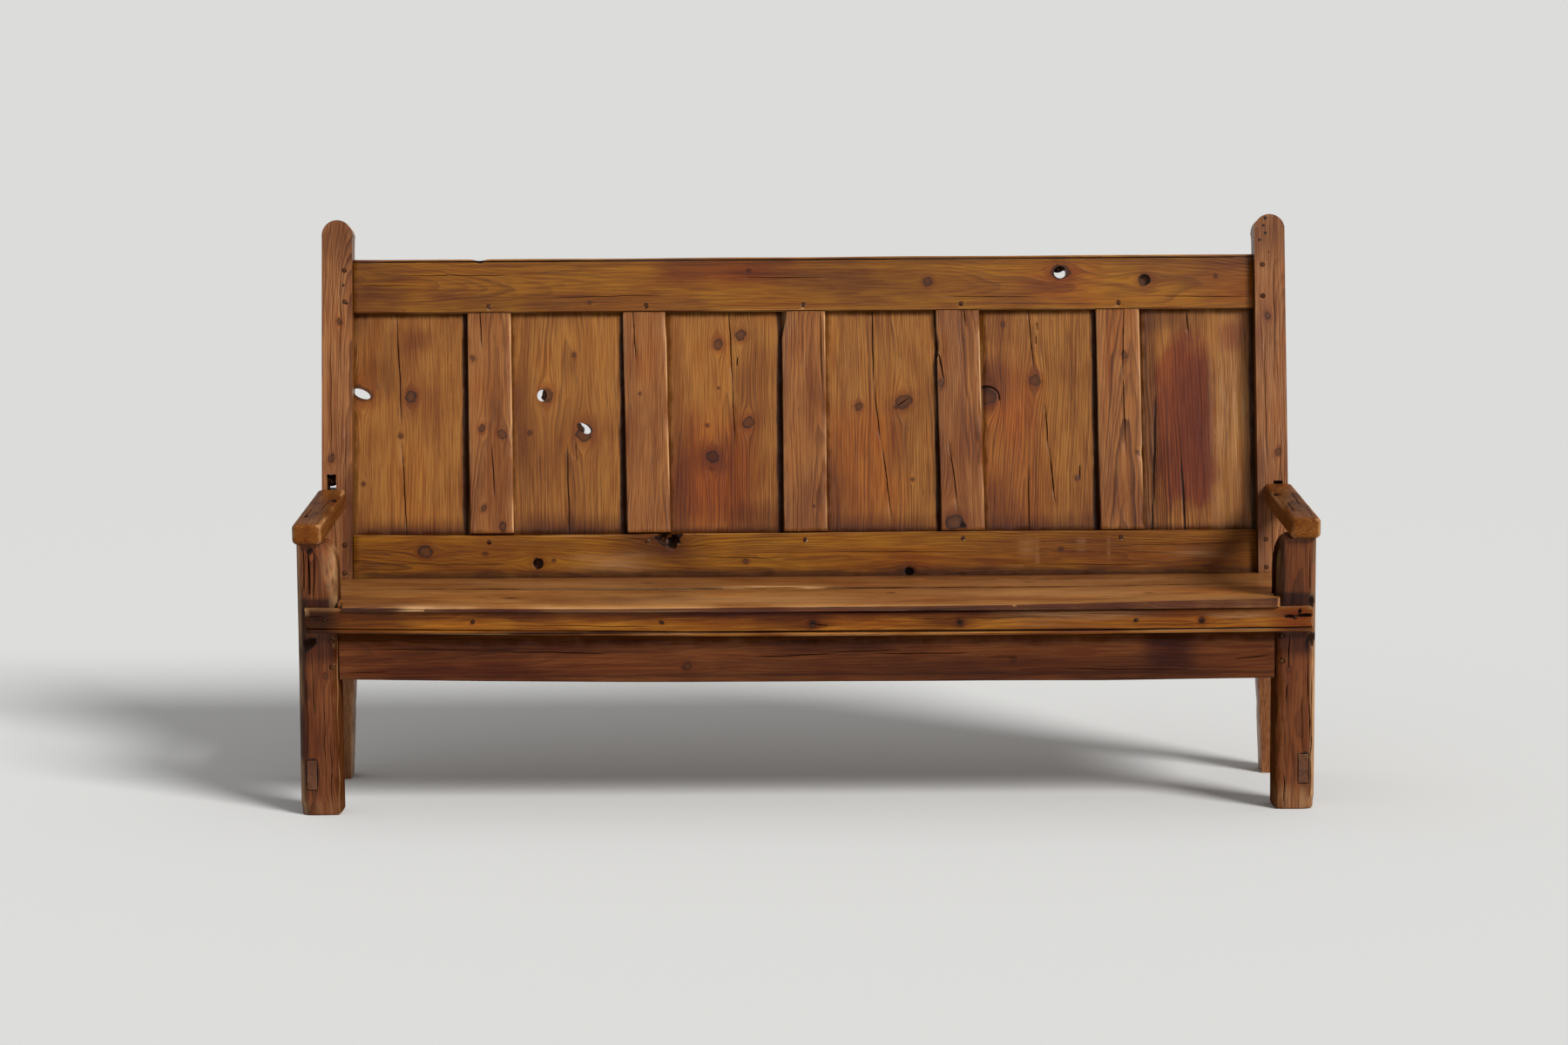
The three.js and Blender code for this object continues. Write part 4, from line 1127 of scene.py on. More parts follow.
top_rail = Board("top_rail", "back", "x", 53.0)
ease_holes(top_rail, [(564, 661, 26), (749, 643, 22)])
rail_arris(top_rail, TOP_RAIL, 2.6)
top_rail.slice("x", -BACK_HALF, BACK_HALF, LONG_CELL).slice("z", *TOP_RAIL, 11)
top_rail.weather(sides=1.6, face=0.7, ends=0.0, arris=1.6)
top_rail.slice("x", -726, -694, 5).slice("z", 690, 697, 3)
top_rail.bite((-711, 36, 699), 26, 6, (0, 0, -1), (1, 1, 1), dark=0.3)
top_rail.bite((-711, 20, 693), 8, 3, (0, 1, 0), (1.4, 1.5, 0.7), dark=1.6, ragged=0.4)
top_rail.cracks(TOP_RAIL_CRACKS, width=0.9, depth=2.5)
for start_x in BEAD_STARTS:
    bead_end = (start_x + BEAD_LENGTH, BEAD_LINE - 0.5)
    top_rail.crack((start_x, BEAD_LINE), bead_end, 1.6, 3.0, wander=0.4)
top_rail_pine = pine(
    "pine of the top rail", "back", "x", "rail", (640, 70), 4.2, seed=53.0, contrast=0.65, checks=0.25,
    polish_and_highlight=0.7,
    knots=[
        (273, 642, 9), (564, 661, 15, 1.3, 0), (749, 643, 13), (-470, 600, 3), (905, 650, 4),
        (-120, 668, 4),
    ],
    stains_and_shade=[
        (-160, 665, 150, 26, 0.7, RED, 1.0), (90, 640, 170, 34, 0.8, SMOKE, 0.6),
        (-640, 600, 160, 18, 0.8, SMOKE, 0.5), (560, 640, 70, 44, 0.7, ORANGE, 0.7),
        (-930, 640, 60, 60, 0.8, SMOKE, 0.6), (930, 640, 60, 50, 0.8, RED, 0.6),
        # Below, the second stain is painted shade in the groove of the bead.
        (20, 686, 900, 6, 0.8, SMOKE, 0.4), (0, BEAD_LINE, 1000, 1.8, 0.4, SHADE_AND_GRIME, 1.0),
    ],
    edges=((-BACK_HALF, BACK_HALF), (500, 900)), dirt_and_shade_reach=14.0,
)
top_rail.finish(top_rail_pine)

# %% [markdown]
# The low rail's upper arris is worn down by up to 5 mm in a slow wave, given as places along the rail
# with a depth. The wave fades out down the face and towards the back. The torn knot is three ragged
# bites that overlap.

# %% Low rail
LOW_RAIL_DIPS = ((-989, 0), (-640, 3), (-523, 5), (-330, 1), (-46, 1), (335, 0), (989, 0))
DIP_START = 40
DIP_RISE = 50
DIP_DEPTH = 18
TORN_KNOT = (
    ((-296, 20, 92), 26, 9, (1.1, 1.4, 0.9)), ((-289, 20, 76), 17, 9, (1.0, 1.6, 1.1)),
    ((-314, 20, 84), 12, 5, (1.4, 1.6, 0.8)),
)
LOW_RAIL_CRACKS = (
    ((-980, 30), (-620, 26)), ((-400, 82), (-300, 80)), ((-300, 62), (-190, 66)), ((60, 50), (330, 46)),
    ((420, 20), (760, 16)), ((700, 60), (975, 64)), ((-250, 40), (-40, 36)),
)


def rail_dip(x):
    """How far the wavy arris is worn down at a place along the rail."""
    for (x0, dip0), (x1, dip1) in zip(LOW_RAIL_DIPS, LOW_RAIL_DIPS[1:]):
        if x0 <= x <= x1:
            share = (x - x0) / (x1 - x0)
            return dip0 + (dip1 - dip0) * share * share * (3 - 2 * share)
    return 0.0


def wear_down(spot):
    """Lowers a place by the rail's dip, in full only at the top of the face."""
    down = max(0.0, min(1.0, (spot.z - DIP_START) / DIP_RISE))
    back = max(0.0, 1 - (spot.y - RAIL_FACE) / DIP_DEPTH)
    return (0, 0, -rail_dip(spot.x) * down * min(1.0, back))


low_rail = Board("lower_back_rail", "back", "x", 57.0)
ease_holes(low_rail, [(-584, 27.5, 18), (228, 5, 16)])
rail_arris(low_rail, LOW_RAIL, 2.8)
low_rail.slice("x", -BACK_HALF, BACK_HALF, LONG_CELL).slice("z", *LOW_RAIL, 11)
low_rail.slice("x", -345, -250, 5).slice("z", 52, 90, 5)
low_rail.move(wear_down)
low_rail.weather(sides=1.0, face=0.8, ends=0.0, arris=1.8)
for centre, radius, depth, stretch in TORN_KNOT:
    low_rail.bite(centre, radius, depth, (0, 1, -0.4), stretch, dark=2.0, ragged=0.5)
low_rail.cracks(LOW_RAIL_CRACKS, width=0.8, depth=2.0)
low_rail_pine = pine(
    "pine of the low rail", "back", "x", "rail", (30, 60), 4.0, seed=57.0, contrast=0.85, checks=0.3,
    wax=0.2,
    knots=[
        (-831, 56, 12, 1.2, 20), (-584, 27.5, 12), (-298, 84, 20, 1.1, 0), (228, 5, 12),
        (-130, 30, 5), (-550, 34, 4), (-700, 50, 4), (560, 52, 4),
    ],
    stains_and_shade=[
        (0, -8, 1100, 20, 0.5, LILAC, 1.0), (-320, 60, 90, 44, 0.7, SMOKE, 0.8),
        (250, 20, 120, 30, 0.8, RED, 0.6), (800, 30, 160, 30, 0.8, RED, 0.6),
    ],
    scuffs_and_painted_light=[
        (484, 58, 16, 18, 0.14), (508, 44, 4, 30, 0.1), (604, 62, 9, 12, 0.12), (664, 46, 3, 26, 0.1),
        (860, 40, 60, 12, 0.2), (-420, 30, 80, 16, 0.2),
    ],
    edges=((-BACK_HALF, BACK_HALF), (LOW_RAIL[0], 400)), dirt_and_shade_reach=20.0,
)
low_rail.finish(low_rail_pine)

# %% [markdown]
# ## Posts
# The four posts are squared from heavier timber, and it has split most: long fissures run down the
# legs, because the core dries last. The rear posts lean back from the seat up and end in round heads.
# Their fissures are the same on both, as places beside the post's middle line.

# %% Rear posts
POST_TOP = 784
REAR_POST_WIDTH = 67
POST_PITH = {-1: (-975, 50), 1: (1060, 40)}
HEAD_ROUND = 34.5
REAR_FISSURES = (
    ((9, 700), (7, 420)), ((-14, 520), (-12, 250)), ((20, 330), (18, 140)), ((-4, 180), (-3, 20)),
)
HOLE = srgb(64, 52, 44)
WORM_HOLES = {
    -1: [(-1008, 640, 2.5), (-1000, 600, 2.5)],
    1: [(1013, 775, 3), (1009, 759, 2.5), (1013, 742, 3), (1000, 727, 2.5), (1020, 700, 2)],
}
for side_name, side in SIDES:
    seed = 61.0 + side
    post = Board(f"rear_post_{side_name}", "back", "z", seed)
    inner, outer = side * BACK_HALF, side * (BACK_HALF + REAR_POST_WIDTH)
    post.round_arrises(
        lambda m, r: r.length > 10 and (m.y < 1 if m.z > 0 else abs(r.z) > 200)
        and min(abs(m.x - inner), abs(m.x - outer)) < 0.5,
        3.0, 3,
    )
    post.round_arrises(lambda m, r: m.z > POST_TOP - HEAD_ROUND and (m.y < 1 or m.y > 68), 2.4, 2)
    post.slice("z", -440, 780, LONG_CELL).slice("x", min(inner, outer), max(inner, outer), LONG_CELL)
    post.slice("y", 8, 60, LONG_CELL)
    post.weather(sides=1.4, face=1.0, ends=0.8, arris=2.4)
    centre = (inner + outer) / 2
    for (start, high), (end, low) in REAR_FISSURES:
        post.crack((centre + start, high), (centre + end, low), width=0.9, depth=3.0)
    post_pine = pine(
        f"pine of the rear post, {side_name}", "back", "z", "post",
        POST_PITH[side], 3.4, seed=seed, contrast=0.95, checks=0.2, polish_and_highlight=0.6,
        knots=[(centre - side * 6, 560, 6, 1.3, 20), (centre + side * 12, 260, 6, 1.5, -20)],
        stains_and_shade=[
            (centre, 740, 60, 50, 0.8, SMOKE, 0.6), (inner, 120, 22, 140, 0.8, SMOKE, 0.8),
            *((x, z, radius, radius, 0.3, HOLE, 1.0) for x, z, radius in WORM_HOLES[side]),
        ],
    )
    post.finish(post_pine)

# %% [markdown]
# The inner arris of each front leg is rubbed round and wavy, perhaps by heels. Broad shallow bites make
# that wave. Each post has fissures, small torn holes and stains of its own, and both have splits on
# the outer side.

# %% Front posts
POST_INNER = 974.5
POST_OUTER = 1060
POST_DEPTH = 80
LEG_TOP = 375
FRONT_FISSURES = {
    -1: [
        ((-1046, 572), (-1044, 470), 2.2, 8), ((-1036, 570), (-1033, 455), 2.6, 9),
        ((-1022, 560), (-1026, 450), 1.8, 6), ((-1030, 360), (-1028, 210), 1.2, 4),
        ((-1008, 250), (-1006, 60), 0.9, 3), ((-1044, 300), (-1042, 120), 1.2, 5),
        ((-996, 180), (-994, 10), 0.9, 3),
    ],
    1: [
        ((1004, 372), (1003, 296), 1.8, 6), ((1041, 345), (1049, 130), 1.6, 7),
        ((1052, 300), (1050, 20), 1.8, 7), ((1000, 266), (999, 226), 1.4, 4),
        ((994, 78), (996, 10), 1.4, 5), ((1046, 560), (1045, 460), 1.4, 6),
        ((1030, 240), (1032, 122), 1.0, 4),
    ],
}
POST_HOLES = {
    -1: [(-1040, 358, 11), (-1030, 366, 9), (-1028, 562, 6)],
    1: [(1052, 362, 12), (1040, 344, 8), (1050, 437, 9), (1012, 446, 5)],
}
POST_WAVES = ((300, 2.5), (215, 4.0), (120, 3.0), (25, 4.0))
# A dark band along each post's inner face: grime on both, and painted shade on the right post, whose
# inner face is turned from the light.
POST_GRIME_AND_SHADE = {-1: (-FAR, -POST_INNER - 4), 1: (POST_INNER + 6, FAR)}
# Pale wear on the arrises: painted light on the left post's inner chamfer, which faces the light, and
# little on the right one, which is in shade.
POST_POLISH_AND_LIGHT = {-1: 0.45, 1: 0.12}
SIDE_FISSURES = (((30, 560), (28, 330)), ((52, 420), (54, 120)), ((24, 240), (26, 30)))
for side_name, side in SIDES:
    seed = 71.0 + 3 * side
    post = Board(f"front_post_{side_name}", "upright", "z", seed)
    post.round_arrises(
        lambda m, r: abs(m.x - side * POST_INNER) < 0.6 and m.y < 1 and m.z < LEG_TOP and abs(r.z) > 20,
        9.0, 4,
    )
    post.round_arrises(
        lambda m, r: abs(m.x) > POST_OUTER - 6 and (m.y < 1 or m.y > POST_DEPTH - 1) and abs(r.z) > 20,
        5.0, 3,
    )
    post.round_arrises(lambda m, r: m.z < 1, 6.0, 4)
    near, far = sorted((side * POST_INNER, side * POST_OUTER))
    post.slice("z", 4, 570, LONG_CELL).slice("x", near + 6, far - 6, 12).slice("y", 14, 70, 14)
    post.weather(sides=1.8, face=1.4, ends=0.6, arris=3.2)
    for height, depth in POST_WAVES:
        post.bite((side * POST_INNER, 0, height), 42, depth, (side, 0.7, 0), (1, 1, 1.4))
    post.bite((side * (POST_OUTER - 3), 0, 8), 26, 5, (-side, 0.5, 0.3))
    for x, height, radius in POST_HOLES[side]:
        post.bite((x, 0, height), radius, 6, (0, 1, 0), (1.0, 1.6, 1.3), dark=2.0, ragged=0.4)
    post.cracks(FRONT_FISSURES[side], wander=4.0)
    post.cracks(SIDE_FISSURES, 1.4, 6.0, side=("x", side), wander=4.0)
    post_pine = pine(
        f"pine of the front post, {side_name}", "upright", "z", "leg",
        (side * 1030, 50), 3.4, seed=seed, contrast=0.8, checks=0.12, polish_and_highlight=POST_POLISH_AND_LIGHT[side],
        wax=0.2,
        knots=[(side * 1003, 296, 4, 1.5, 0)],
        stains_and_shade=[
            # Painted shade: a dark frame round each plug for its gap, a strip down the left leg's outer
            # arris and one on the right post's inner chamfer, which face away from the light.
            (side * 1035.5, 86, 13.5, 34, 0.12, SHADE_AND_GRIME, 1.0),
            (side * 1010, 352, 80, 24, 0.7, SMOKE, 0.9), (side * 1016, 444, 60, 14, 0.4, LILAC, 1.0),
            (1000, 500, 30, 80, 0.5, GREY, 0.5), (-1050, 150, 9, 290, 0.5, SHADE_AND_GRIME, 0.6),
            (981, 505, 13, 80, 0.5, SHADE_AND_GRIME, 0.9),
        ],
        scuffs_and_painted_light=[
            (POST_OUTER - 3, 200, 8, 220, 0.4), (1016, 20, 60, 26, 0.25), (-1016, 16, 60, 20, 0.1),
            (-992, 530, 15, 38, 0.2), (-984, 475, 8, 50, 0.15),
        ],
        edges=(POST_GRIME_AND_SHADE[side], (-FAR, FAR)), dirt_and_shade_reach=15.0,
    )
    post.finish(post_pine)

# %% [markdown]
# ## Arms
# The arms are what hands touch, so they are the smoothest and glossiest parts, with round arrises
# and a rounded front end. Their frame slopes with them and their grain runs to the back.

# %% Arms
ARM_CENTRE = 1034
ARM_HALF = 32
ARM_MIDDLE = -22.5
ARM_FRONT = -18
ARM_TOP = -45
ARM_END = 16
END_ROUND = 7


def round_end(spot, middle):
    """Draws the front end of an arm in all round, to the shape of a cushion."""
    reach = min(1.0, max(0.0, (ARM_FRONT + ARM_END - spot.z) / ARM_END))
    pull = END_ROUND * (1 - sqrt(1 - reach * reach)) / ARM_HALF
    return ((middle - spot.x) * pull, (ARM_MIDDLE - spot.y) * pull, 0)


for side_name, side in SIDES:
    seed = 81.0 + 2 * side
    arm = Board(f"arm_{side_name}", "arm", "z", seed)
    middle = side * ARM_CENTRE
    arm.slice("z", -2, 420, 14).slice("z", -16, -4, 3)
    arm.slice("x", middle - 30, middle + 30, 12).slice("y", -40, -5, 12)
    arm.move(lambda spot: round_end(spot, middle))
    arm.weather(sides=1.2, face=1.0, ends=1.2, arris=0.8)
    arm.crack((middle + 9, 150), (middle + 12, 320), 1.4, 3.5)
    arm.crack((middle - 14, 60), (middle - 12, 190), 1.4, 3.5)
    arm.bite((middle - side * 22, ARM_TOP, 300), 9, 4, (0, 1, 0), (0.9, 1, 2.2), dark=1.8, ragged=0.5)
    arm.bite((middle + side * 12, ARM_TOP, 95), 7, 2.5, (0, 1, 0), (0.8, 1, 2.6), dark=1.2, ragged=0.5)
    arm_pine = pine(
        f"pine of the arm, {side_name}", "arm", "z", "arm", (middle - 12, 30), 3.4,
        seed=seed, contrast=1.0, gloss=0.38, wax=0.08, checks=0.4, polish_and_highlight=0.6,
        knots=[(middle + 4, 130, 5), (middle - 10, 260, 6)],
        stains_and_shade=[(middle, 200, 30, 140, 0.7, OLIVE, 0.9)],
    )
    arm.finish(arm_pine)

# %% [markdown]
# ## Seat
# Two boards make the seat. Sitting has polished and sunk them, and the front arris is rubbed thin and
# chipped, most of all on the left. In the seat's frame X runs along the bench, Z to the back, and minus
# Y is up. The nosing's front is painted a darker brown, and a pale line along its upper arris, 4 mm
# behind the front, is a painted highlight.

# %% Front seat board
SEAT_HALF = 1051.5
SEAT_TOP = -430
NOSE = -30
JOINT = 224
SEAT_BACK = 429
NOSE_UNDER = -429
NOSE_TOP = -448
NOSE_WEAR = 26
NOSE_HIGHLIGHT_LINE = 4.0
NOSE_LOSS = ((-1052, 9), (-400, 8), (100, 6), (700, 1), (1052, 0))
# A darker brown for the front of the nosing.
NOSE_FRONT_TINT = srgb(128, 86, 30)
NOSE_ARRISES = ((NOSE_TOP, 4.5), (NOSE_UNDER, 2.6))
NOSE_CHIPS = (
    (-905, 1.8), (-760, 1.5), (-520, 1.8), (-330, 1.2), (-10, 2.7), (12, 2.4), (180, 1.5),
    (330, 1.5), (430, 3.0), (450, 2.4), (560, 1.8), (700, 1.5), (860, 1.5),
)
FRONT_BOARD_CRACKS = (
    ((-940, 60), (-500, 62)), ((-300, 120), (120, 124)), ((300, 80), (700, 76)),
    ((560, 180), (930, 176)), ((-800, 190), (-420, 188)), ((40, 30), (360, 26)),
)
JOINT_DARK = (0, JOINT, 1100, 5, 0.4, SHADE_AND_GRIME, 1.0)


def nose_loss(spot):
    """How far the seat's front arris is rubbed down, more on the left than on the right."""
    loss = 0.0
    for (x0, loss0), (x1, loss1) in zip(NOSE_LOSS, NOSE_LOSS[1:]):
        if x0 <= spot.x <= x1:
            loss = loss0 + (loss1 - loss0) * (spot.x - x0) / (x1 - x0)
    reach = max(0.0, 1 - (spot.z - NOSE) / NOSE_WEAR)
    lift = min(1.0, max(0.0, (spot.y - NOSE_UNDER) / (NOSE_TOP - NOSE_UNDER)))
    return (0, loss * reach * reach * lift, 0)


def on_joint(middle, run):
    return abs(middle.z - JOINT) < 1.5 and middle.y < SEAT_TOP and abs(run.x) > 20


front_board = Board("seat_board_front", "seat", "x", 91.0)
front_board.round_arrises(lambda m, r: m.x > 900 and abs(m.z - NOSE) < 0.4 and abs(r.y) > 5, 9.0, 4)
for middle, width in NOSE_ARRISES:
    front_board.round_arrises(
        lambda m, r: abs(m.z - NOSE) < 0.4 and abs(m.y - middle) < 6 and abs(r.x) > 20, width, 4
    )
front_board.round_arrises(on_joint, 2.6, 2)
front_board.slice("x", -SEAT_HALF, SEAT_HALF, LONG_CELL).slice("z", NOSE + 8, JOINT, LONG_CELL)
front_board.move(nose_loss)
front_board.weather(sides=1.2, face=1.2, ends=0.3, arris=2.0, lumps=0.006)
for x, depth in NOSE_CHIPS:
    front_board.bite((x, -444, NOSE), 10, depth, (0, 0.1, 1), dark=0.4, ragged=0.4)
front_board.cracks(FRONT_BOARD_CRACKS, 2.4, 2.5)
front_pine = pine(
    "pine of the front seat board", "seat", "x", "seat", (90, -380), 4.2, seed=91.0, contrast=0.9,
    checks=0.7, polish_and_highlight=1.2,
    knots=[(-620, 90, 9, 1.4, 0), (180, 150, 8), (720, 100, 9)], gloss=0.36,
    stains_and_shade=[
        (-880, 20, 120, 60, 0.8, SMOKE, 0.8), (300, 60, 200, 50, 0.8, RED, 0.6),
        (-400, 80, 160, 50, 0.8, SMOKE, 0.6), (900, 120, 160, 60, 0.8, ORANGE, 0.5),
        # Below, the first stain darkens the nosing's front, and the grey band before the joint is
        # painted shade that goes on over the rear board.
        (0, NOSE, 1100, 2.6, 0.3, NOSE_FRONT_TINT, 1.0), JOINT_DARK, (0, JOINT, 1100, 60, 0.8, GREY, 0.5),
    ],
    scuffs_and_painted_light=[
        (-150, 60, 260, 60, 0.25), (520, 120, 240, 60, 0.25), (760, 20, 160, 30, 0.2),
        # The last scuff is the painted highlight along the nosing's upper arris.
        (0, NOSE + NOSE_HIGHLIGHT_LINE, 1100, 1.2, 0.4),
    ],
    edges=((-FAR, FAR), (-FAR, JOINT)), dirt_and_shade_reach=7.0,
)
front_board.finish(front_pine)

# %% [markdown]
# The rear board has a row of shallow hollows along the joint, scraped pale, and is painted greyer
# towards the back, as shade where the seat meets the back.

# %% Rear seat board
JOINT_HOLLOWS = (-160, -125, -78, -45, -5, 24)
REAR_BOARD_CRACKS = (((-900, 330), (-480, 334)), ((-200, 300), (300, 304)), ((420, 350), (900, 346)))

rear_board = Board("seat_board_rear", "seat", "x", 95.0)
rear_board.round_arrises(on_joint, 2.6, 2)
rear_board.slice("x", -SEAT_HALF, SEAT_HALF, LONG_CELL).slice("z", JOINT, SEAT_BACK, LONG_CELL)
rear_board.weather(sides=0.8, face=1.0, ends=0.3, arris=1.4, lumps=0.006)
for x in JOINT_HOLLOWS:
    rear_board.bite((x, -440, JOINT), 22, 5.0, (0, 1, 0.3), (1.6, 1, 0.6))
rear_board.cracks(REAR_BOARD_CRACKS, 2.4, 2.5)
rear_pine = pine(
    "pine of the rear seat board", "seat", "x", "seat", (330, -360), 4.0, seed=95.0, contrast=0.9,
    checks=0.7,
    knots=[(-340, 320, 9), (480, 300, 8)], gloss=0.36,
    stains_and_shade=[
        # Painted shade: a dark band along the back edge and a grey band over the back half of the
        # board.
        (0, 424, 1100, 16, 0.7, LILAC, 1.0), (-70, 240, 110, 14, 0.6, OLIVE, 1.0),
        (0, 420, 1100, 200, 0.8, GREY, 0.9), JOINT_DARK,
    ],
    scuffs_and_painted_light=[(-75, 244, 100, 14, 1.0), (-500, 300, 200, 40, 0.2), (600, 300, 240, 40, 0.2)],
    edges=((-FAR, FAR), (JOINT, SEAT_BACK)), dirt_and_shade_reach=9.0,
)
rear_board.finish(rear_pine)

# %% [markdown]
# ## Beaded rail and apron
# A moulded rail is nailed over the joint of seat and apron. Its bead and quirk are in the solid, so
# here it gets its wavy arrises, its splits, the slots at its right end and its worn ends. The apron
# below stays in shade and has darkened most, with long splits along its upper half.

# %% Beaded rail
BEAD_RAIL_LEFT = -1042
BEAD_RAIL_RIGHT = 1049
BEAD_SLOTS = ((-1012, 418, 5, 3), (1001, 411, 13, 3.6), (1033, 412.5, 19, 3.4), (1022, 421, 3, 2.6))
BEAD_KNOT_HOLES = (12, 317, 819)
BEAD_CRACKS = (
    ((-1042, 424), (-1000, 422), 1.0, 4), ((-640, 402), (-300, 398), 0.8, 3),
    ((200, 410), (520, 414), 0.8, 3), ((640, 396), (900, 398), 0.8, 3),
    ((-900, 396), (-700, 394), 0.8, 3), ((10, 402), (46, 398), 1.6, 6),
)
# The painted shadow of the seat's nosing along the top of the rail.
NOSE_SHADOW = srgb(142, 106, 44)

bead_rail = Board("front_bead_rail", "upright", "x", 101.0)
bead_rail.slice("x", BEAD_RAIL_LEFT, BEAD_RAIL_RIGHT, LONG_CELL).slice("z", 392, 432, 10)
bead_rail.weather(sides=1.4, face=0.9, ends=1.6, arris=1.0)
for height, depth in ((430, 3), (402, 2), (388, 3)):
    bead_rail.bite((BEAD_RAIL_LEFT, -20, height), 16, depth, (1, 0.8, 0), dark=0.5, ragged=0.5)
bead_rail.slice("x", 984, BEAD_RAIL_RIGHT, 4).slice("z", 403, 420, 3)
for x, height, half_length, half_height in BEAD_SLOTS:
    stretch = (half_length / half_height, 2.0, 1.0)
    bead_rail.bite((x, -22, height), half_height, 8, (0, 1, 0), stretch, dark=3.0, ragged=0.3)
bead_rail.bite((BEAD_RAIL_RIGHT, -20, 400), 14, 4, (-1, 0.3, 0))
bead_rail.cracks(BEAD_CRACKS)
bead_pine = pine(
    "pine of the beaded rail", "upright", "x", "bead", (450, 70), 3.6, seed=101.0, contrast=0.7,
    checks=0.25, wax=0.15,
    knots=[
        (12, 402, 8), (317, 402, 7), (819, 405, 7), (-695, 408, 3), (-304, 408, 3),
        (679, 404, 2.5),
    ],
    stains_and_shade=[
        (-30, 404, 60, 14, 0.7, SMOKE, 0.9), (290, 402, 50, 12, 0.7, SMOKE, 0.9),
        (-950, 410, 110, 40, 0.8, SMOKE, 0.8), (1010, 408, 40, 30, 0.8, RED, 1.0),
        # Below, painted shade: the dark line in the quirk above the bead and the nosing's shadow along
        # the top; the dark left end is grime.
        (800, 404, 90, 20, 0.8, RED, 0.6), (0, 385.5, 1100, 2.2, 0.3, SHADE_AND_GRIME, 1.0),
        (0, 424, 1100, 11.5, 0.8, NOSE_SHADOW, 1.0), (-1022, 408, 44, 44, 0.6, SHADE_AND_GRIME, 0.85),
        *((x, 403, 4.5, 3.5, 0.4, HOLE, 0.9) for x in BEAD_KNOT_HOLES),
    ],
    scuffs_and_painted_light=[(560, 412, 120, 16, 0.2), (900, 414, 60, 12, 0.2)],
)
bead_rail.finish(bead_pine)

# %% Apron
APRON_LOW = 292
PLUM = srgb(178, 150, 160)
APRON_CRACKS = (
    ((-918, 350), (-600, 345), 1.2), ((-640, 343), (-410, 337), 1.4), ((-120, 328), (60, 335), 1.4),
    ((40, 337), (200, 343), 1.2), ((130, 334), (350, 334), 1.2), ((370, 324), (440, 325), 1.0),
    ((890, 318), (968, 326), 1.4), ((-960, 300), (-870, 302), 1.0), ((520, 300), (800, 296), 0.8),
)

apron = Board("front_apron", "upright", "x", 107.0)
apron.round_arrises(lambda m, r: abs(r.x) > 8 and m.y < 6.5 and m.z < APRON_LOW, 3.0, 3)
apron.slice("x", -970, 970, LONG_CELL).slice("z", APRON_LOW, 412, 11)
apron.weather(sides=1.2, face=1.0, ends=0.0, arris=1.6)
apron.cracks(APRON_CRACKS, depth=5.0)
apron_pine = pine(
    "pine of the apron", "upright", "x", "apron", (360, 70), 4.2, seed=107.0, contrast=0.6,
    checks=0.25, wax=0.15, polish_and_highlight=0.05,
    knots=[(-250, 310, 7), (430, 320, 5)],
    stains_and_shade=[
        (757, 335, 50, 44, 0.5, PLUM, 1.0), (-700, 300, 200, 20, 0.8, RED, 0.6),
        (80, 352, 150, 14, 0.7, SMOKE, 0.8), (-560, 352, 200, 14, 0.7, SMOKE, 0.8),
        # The last stain is painted shade along the bottom arris, which also gets little pale wear.
        (400, 302, 480, 26, 0.6, SMOKE, 0.75), (0, 291, 1100, 3, 0.5, SHADE_AND_GRIME, 0.4),
    ],
    # The dark band along the top of the apron is grime and painted shade under the beaded rail.
    edges=((-2000, 2000), (200, 374)), dirt_and_shade_reach=24.0,
)
apron.finish(apron_pine)

# %% [markdown]
# ## Under the seat
# Side rails, a rear rail and three bearers carry the boards. Nobody waxed them, so they are paler and
# rougher than the rest.

# %% Hidden rails
ROUGH_RAILS = {
    "side_seat_rail_left": ("y", (-1030, 380)), "side_seat_rail_right": ("y", (1030, 380)),
    "rear_seat_rail": ("x", (380, 460)),
    "seat_bearer_1": ("y", (-494, 380)), "seat_bearer_2": ("y", (0, 380)),
    "seat_bearer_3": ("y", (494, 380)),
}
for index, (node, (grain, pith)) in enumerate(ROUGH_RAILS.items()):
    seed = 121.0 + 3 * index
    rail = Board(node, "upright", grain, seed)
    low, high = extent(rail)
    rail.round_arrises(lambda m, r: r.length > 25, 1.6, 2)
    rail.slice(grain, low[AXES[grain]] + 2, high[AXES[grain]] - 2, 16)
    rail.weather(sides=1.0, face=0.8, ends=0.2, arris=1.0)
    rough_pine = pine(
        f"sawn pine of {node}", "upright", grain, "rough", pith, 3.6, seed=seed, contrast=0.5,
        gloss=0.62, relief=0.4,
    )
    rail.finish(rough_pine)

# %% [markdown]
# ## Pegs, plugs and nails
# Whittled pegs lock every joint of the back and the apron. They show as dark end grain, a little
# proud or sunk. Two blocks fill old mortises in the front feet, and hand-made nails hold the beaded
# rail. One loop makes each kind.

# %% Pegs and plugs
TONES["peg"] = (srgb(84, 50, 28), srgb(52, 31, 18))
TONES["plug"] = (srgb(104, 64, 38), srgb(66, 39, 23))
PLUG_CENTRE = 1035
peg_pines = {
    where: pine(
        f"peg wood, {where}", where, "y", "peg", (0, 0), 2.4, seed=7.0, gloss=0.5, polish_and_highlight=0.1, wax=0.1
    )
    for where in ("back", "upright")
}
peg_nodes = sorted(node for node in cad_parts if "_peg" in node)
for index, node in enumerate(peg_nodes):
    where = "upright" if node.startswith("apron") else "back"
    peg = Board(node, where, "y", 131.0 + index)
    peg.round_arrises(lambda m, r: True, 0.8, 2)
    peg.weather(sides=0.2, face=0.2, ends=0.9, arris=0.3, lumps=0.05)
    peg.finish(peg_pines[where])

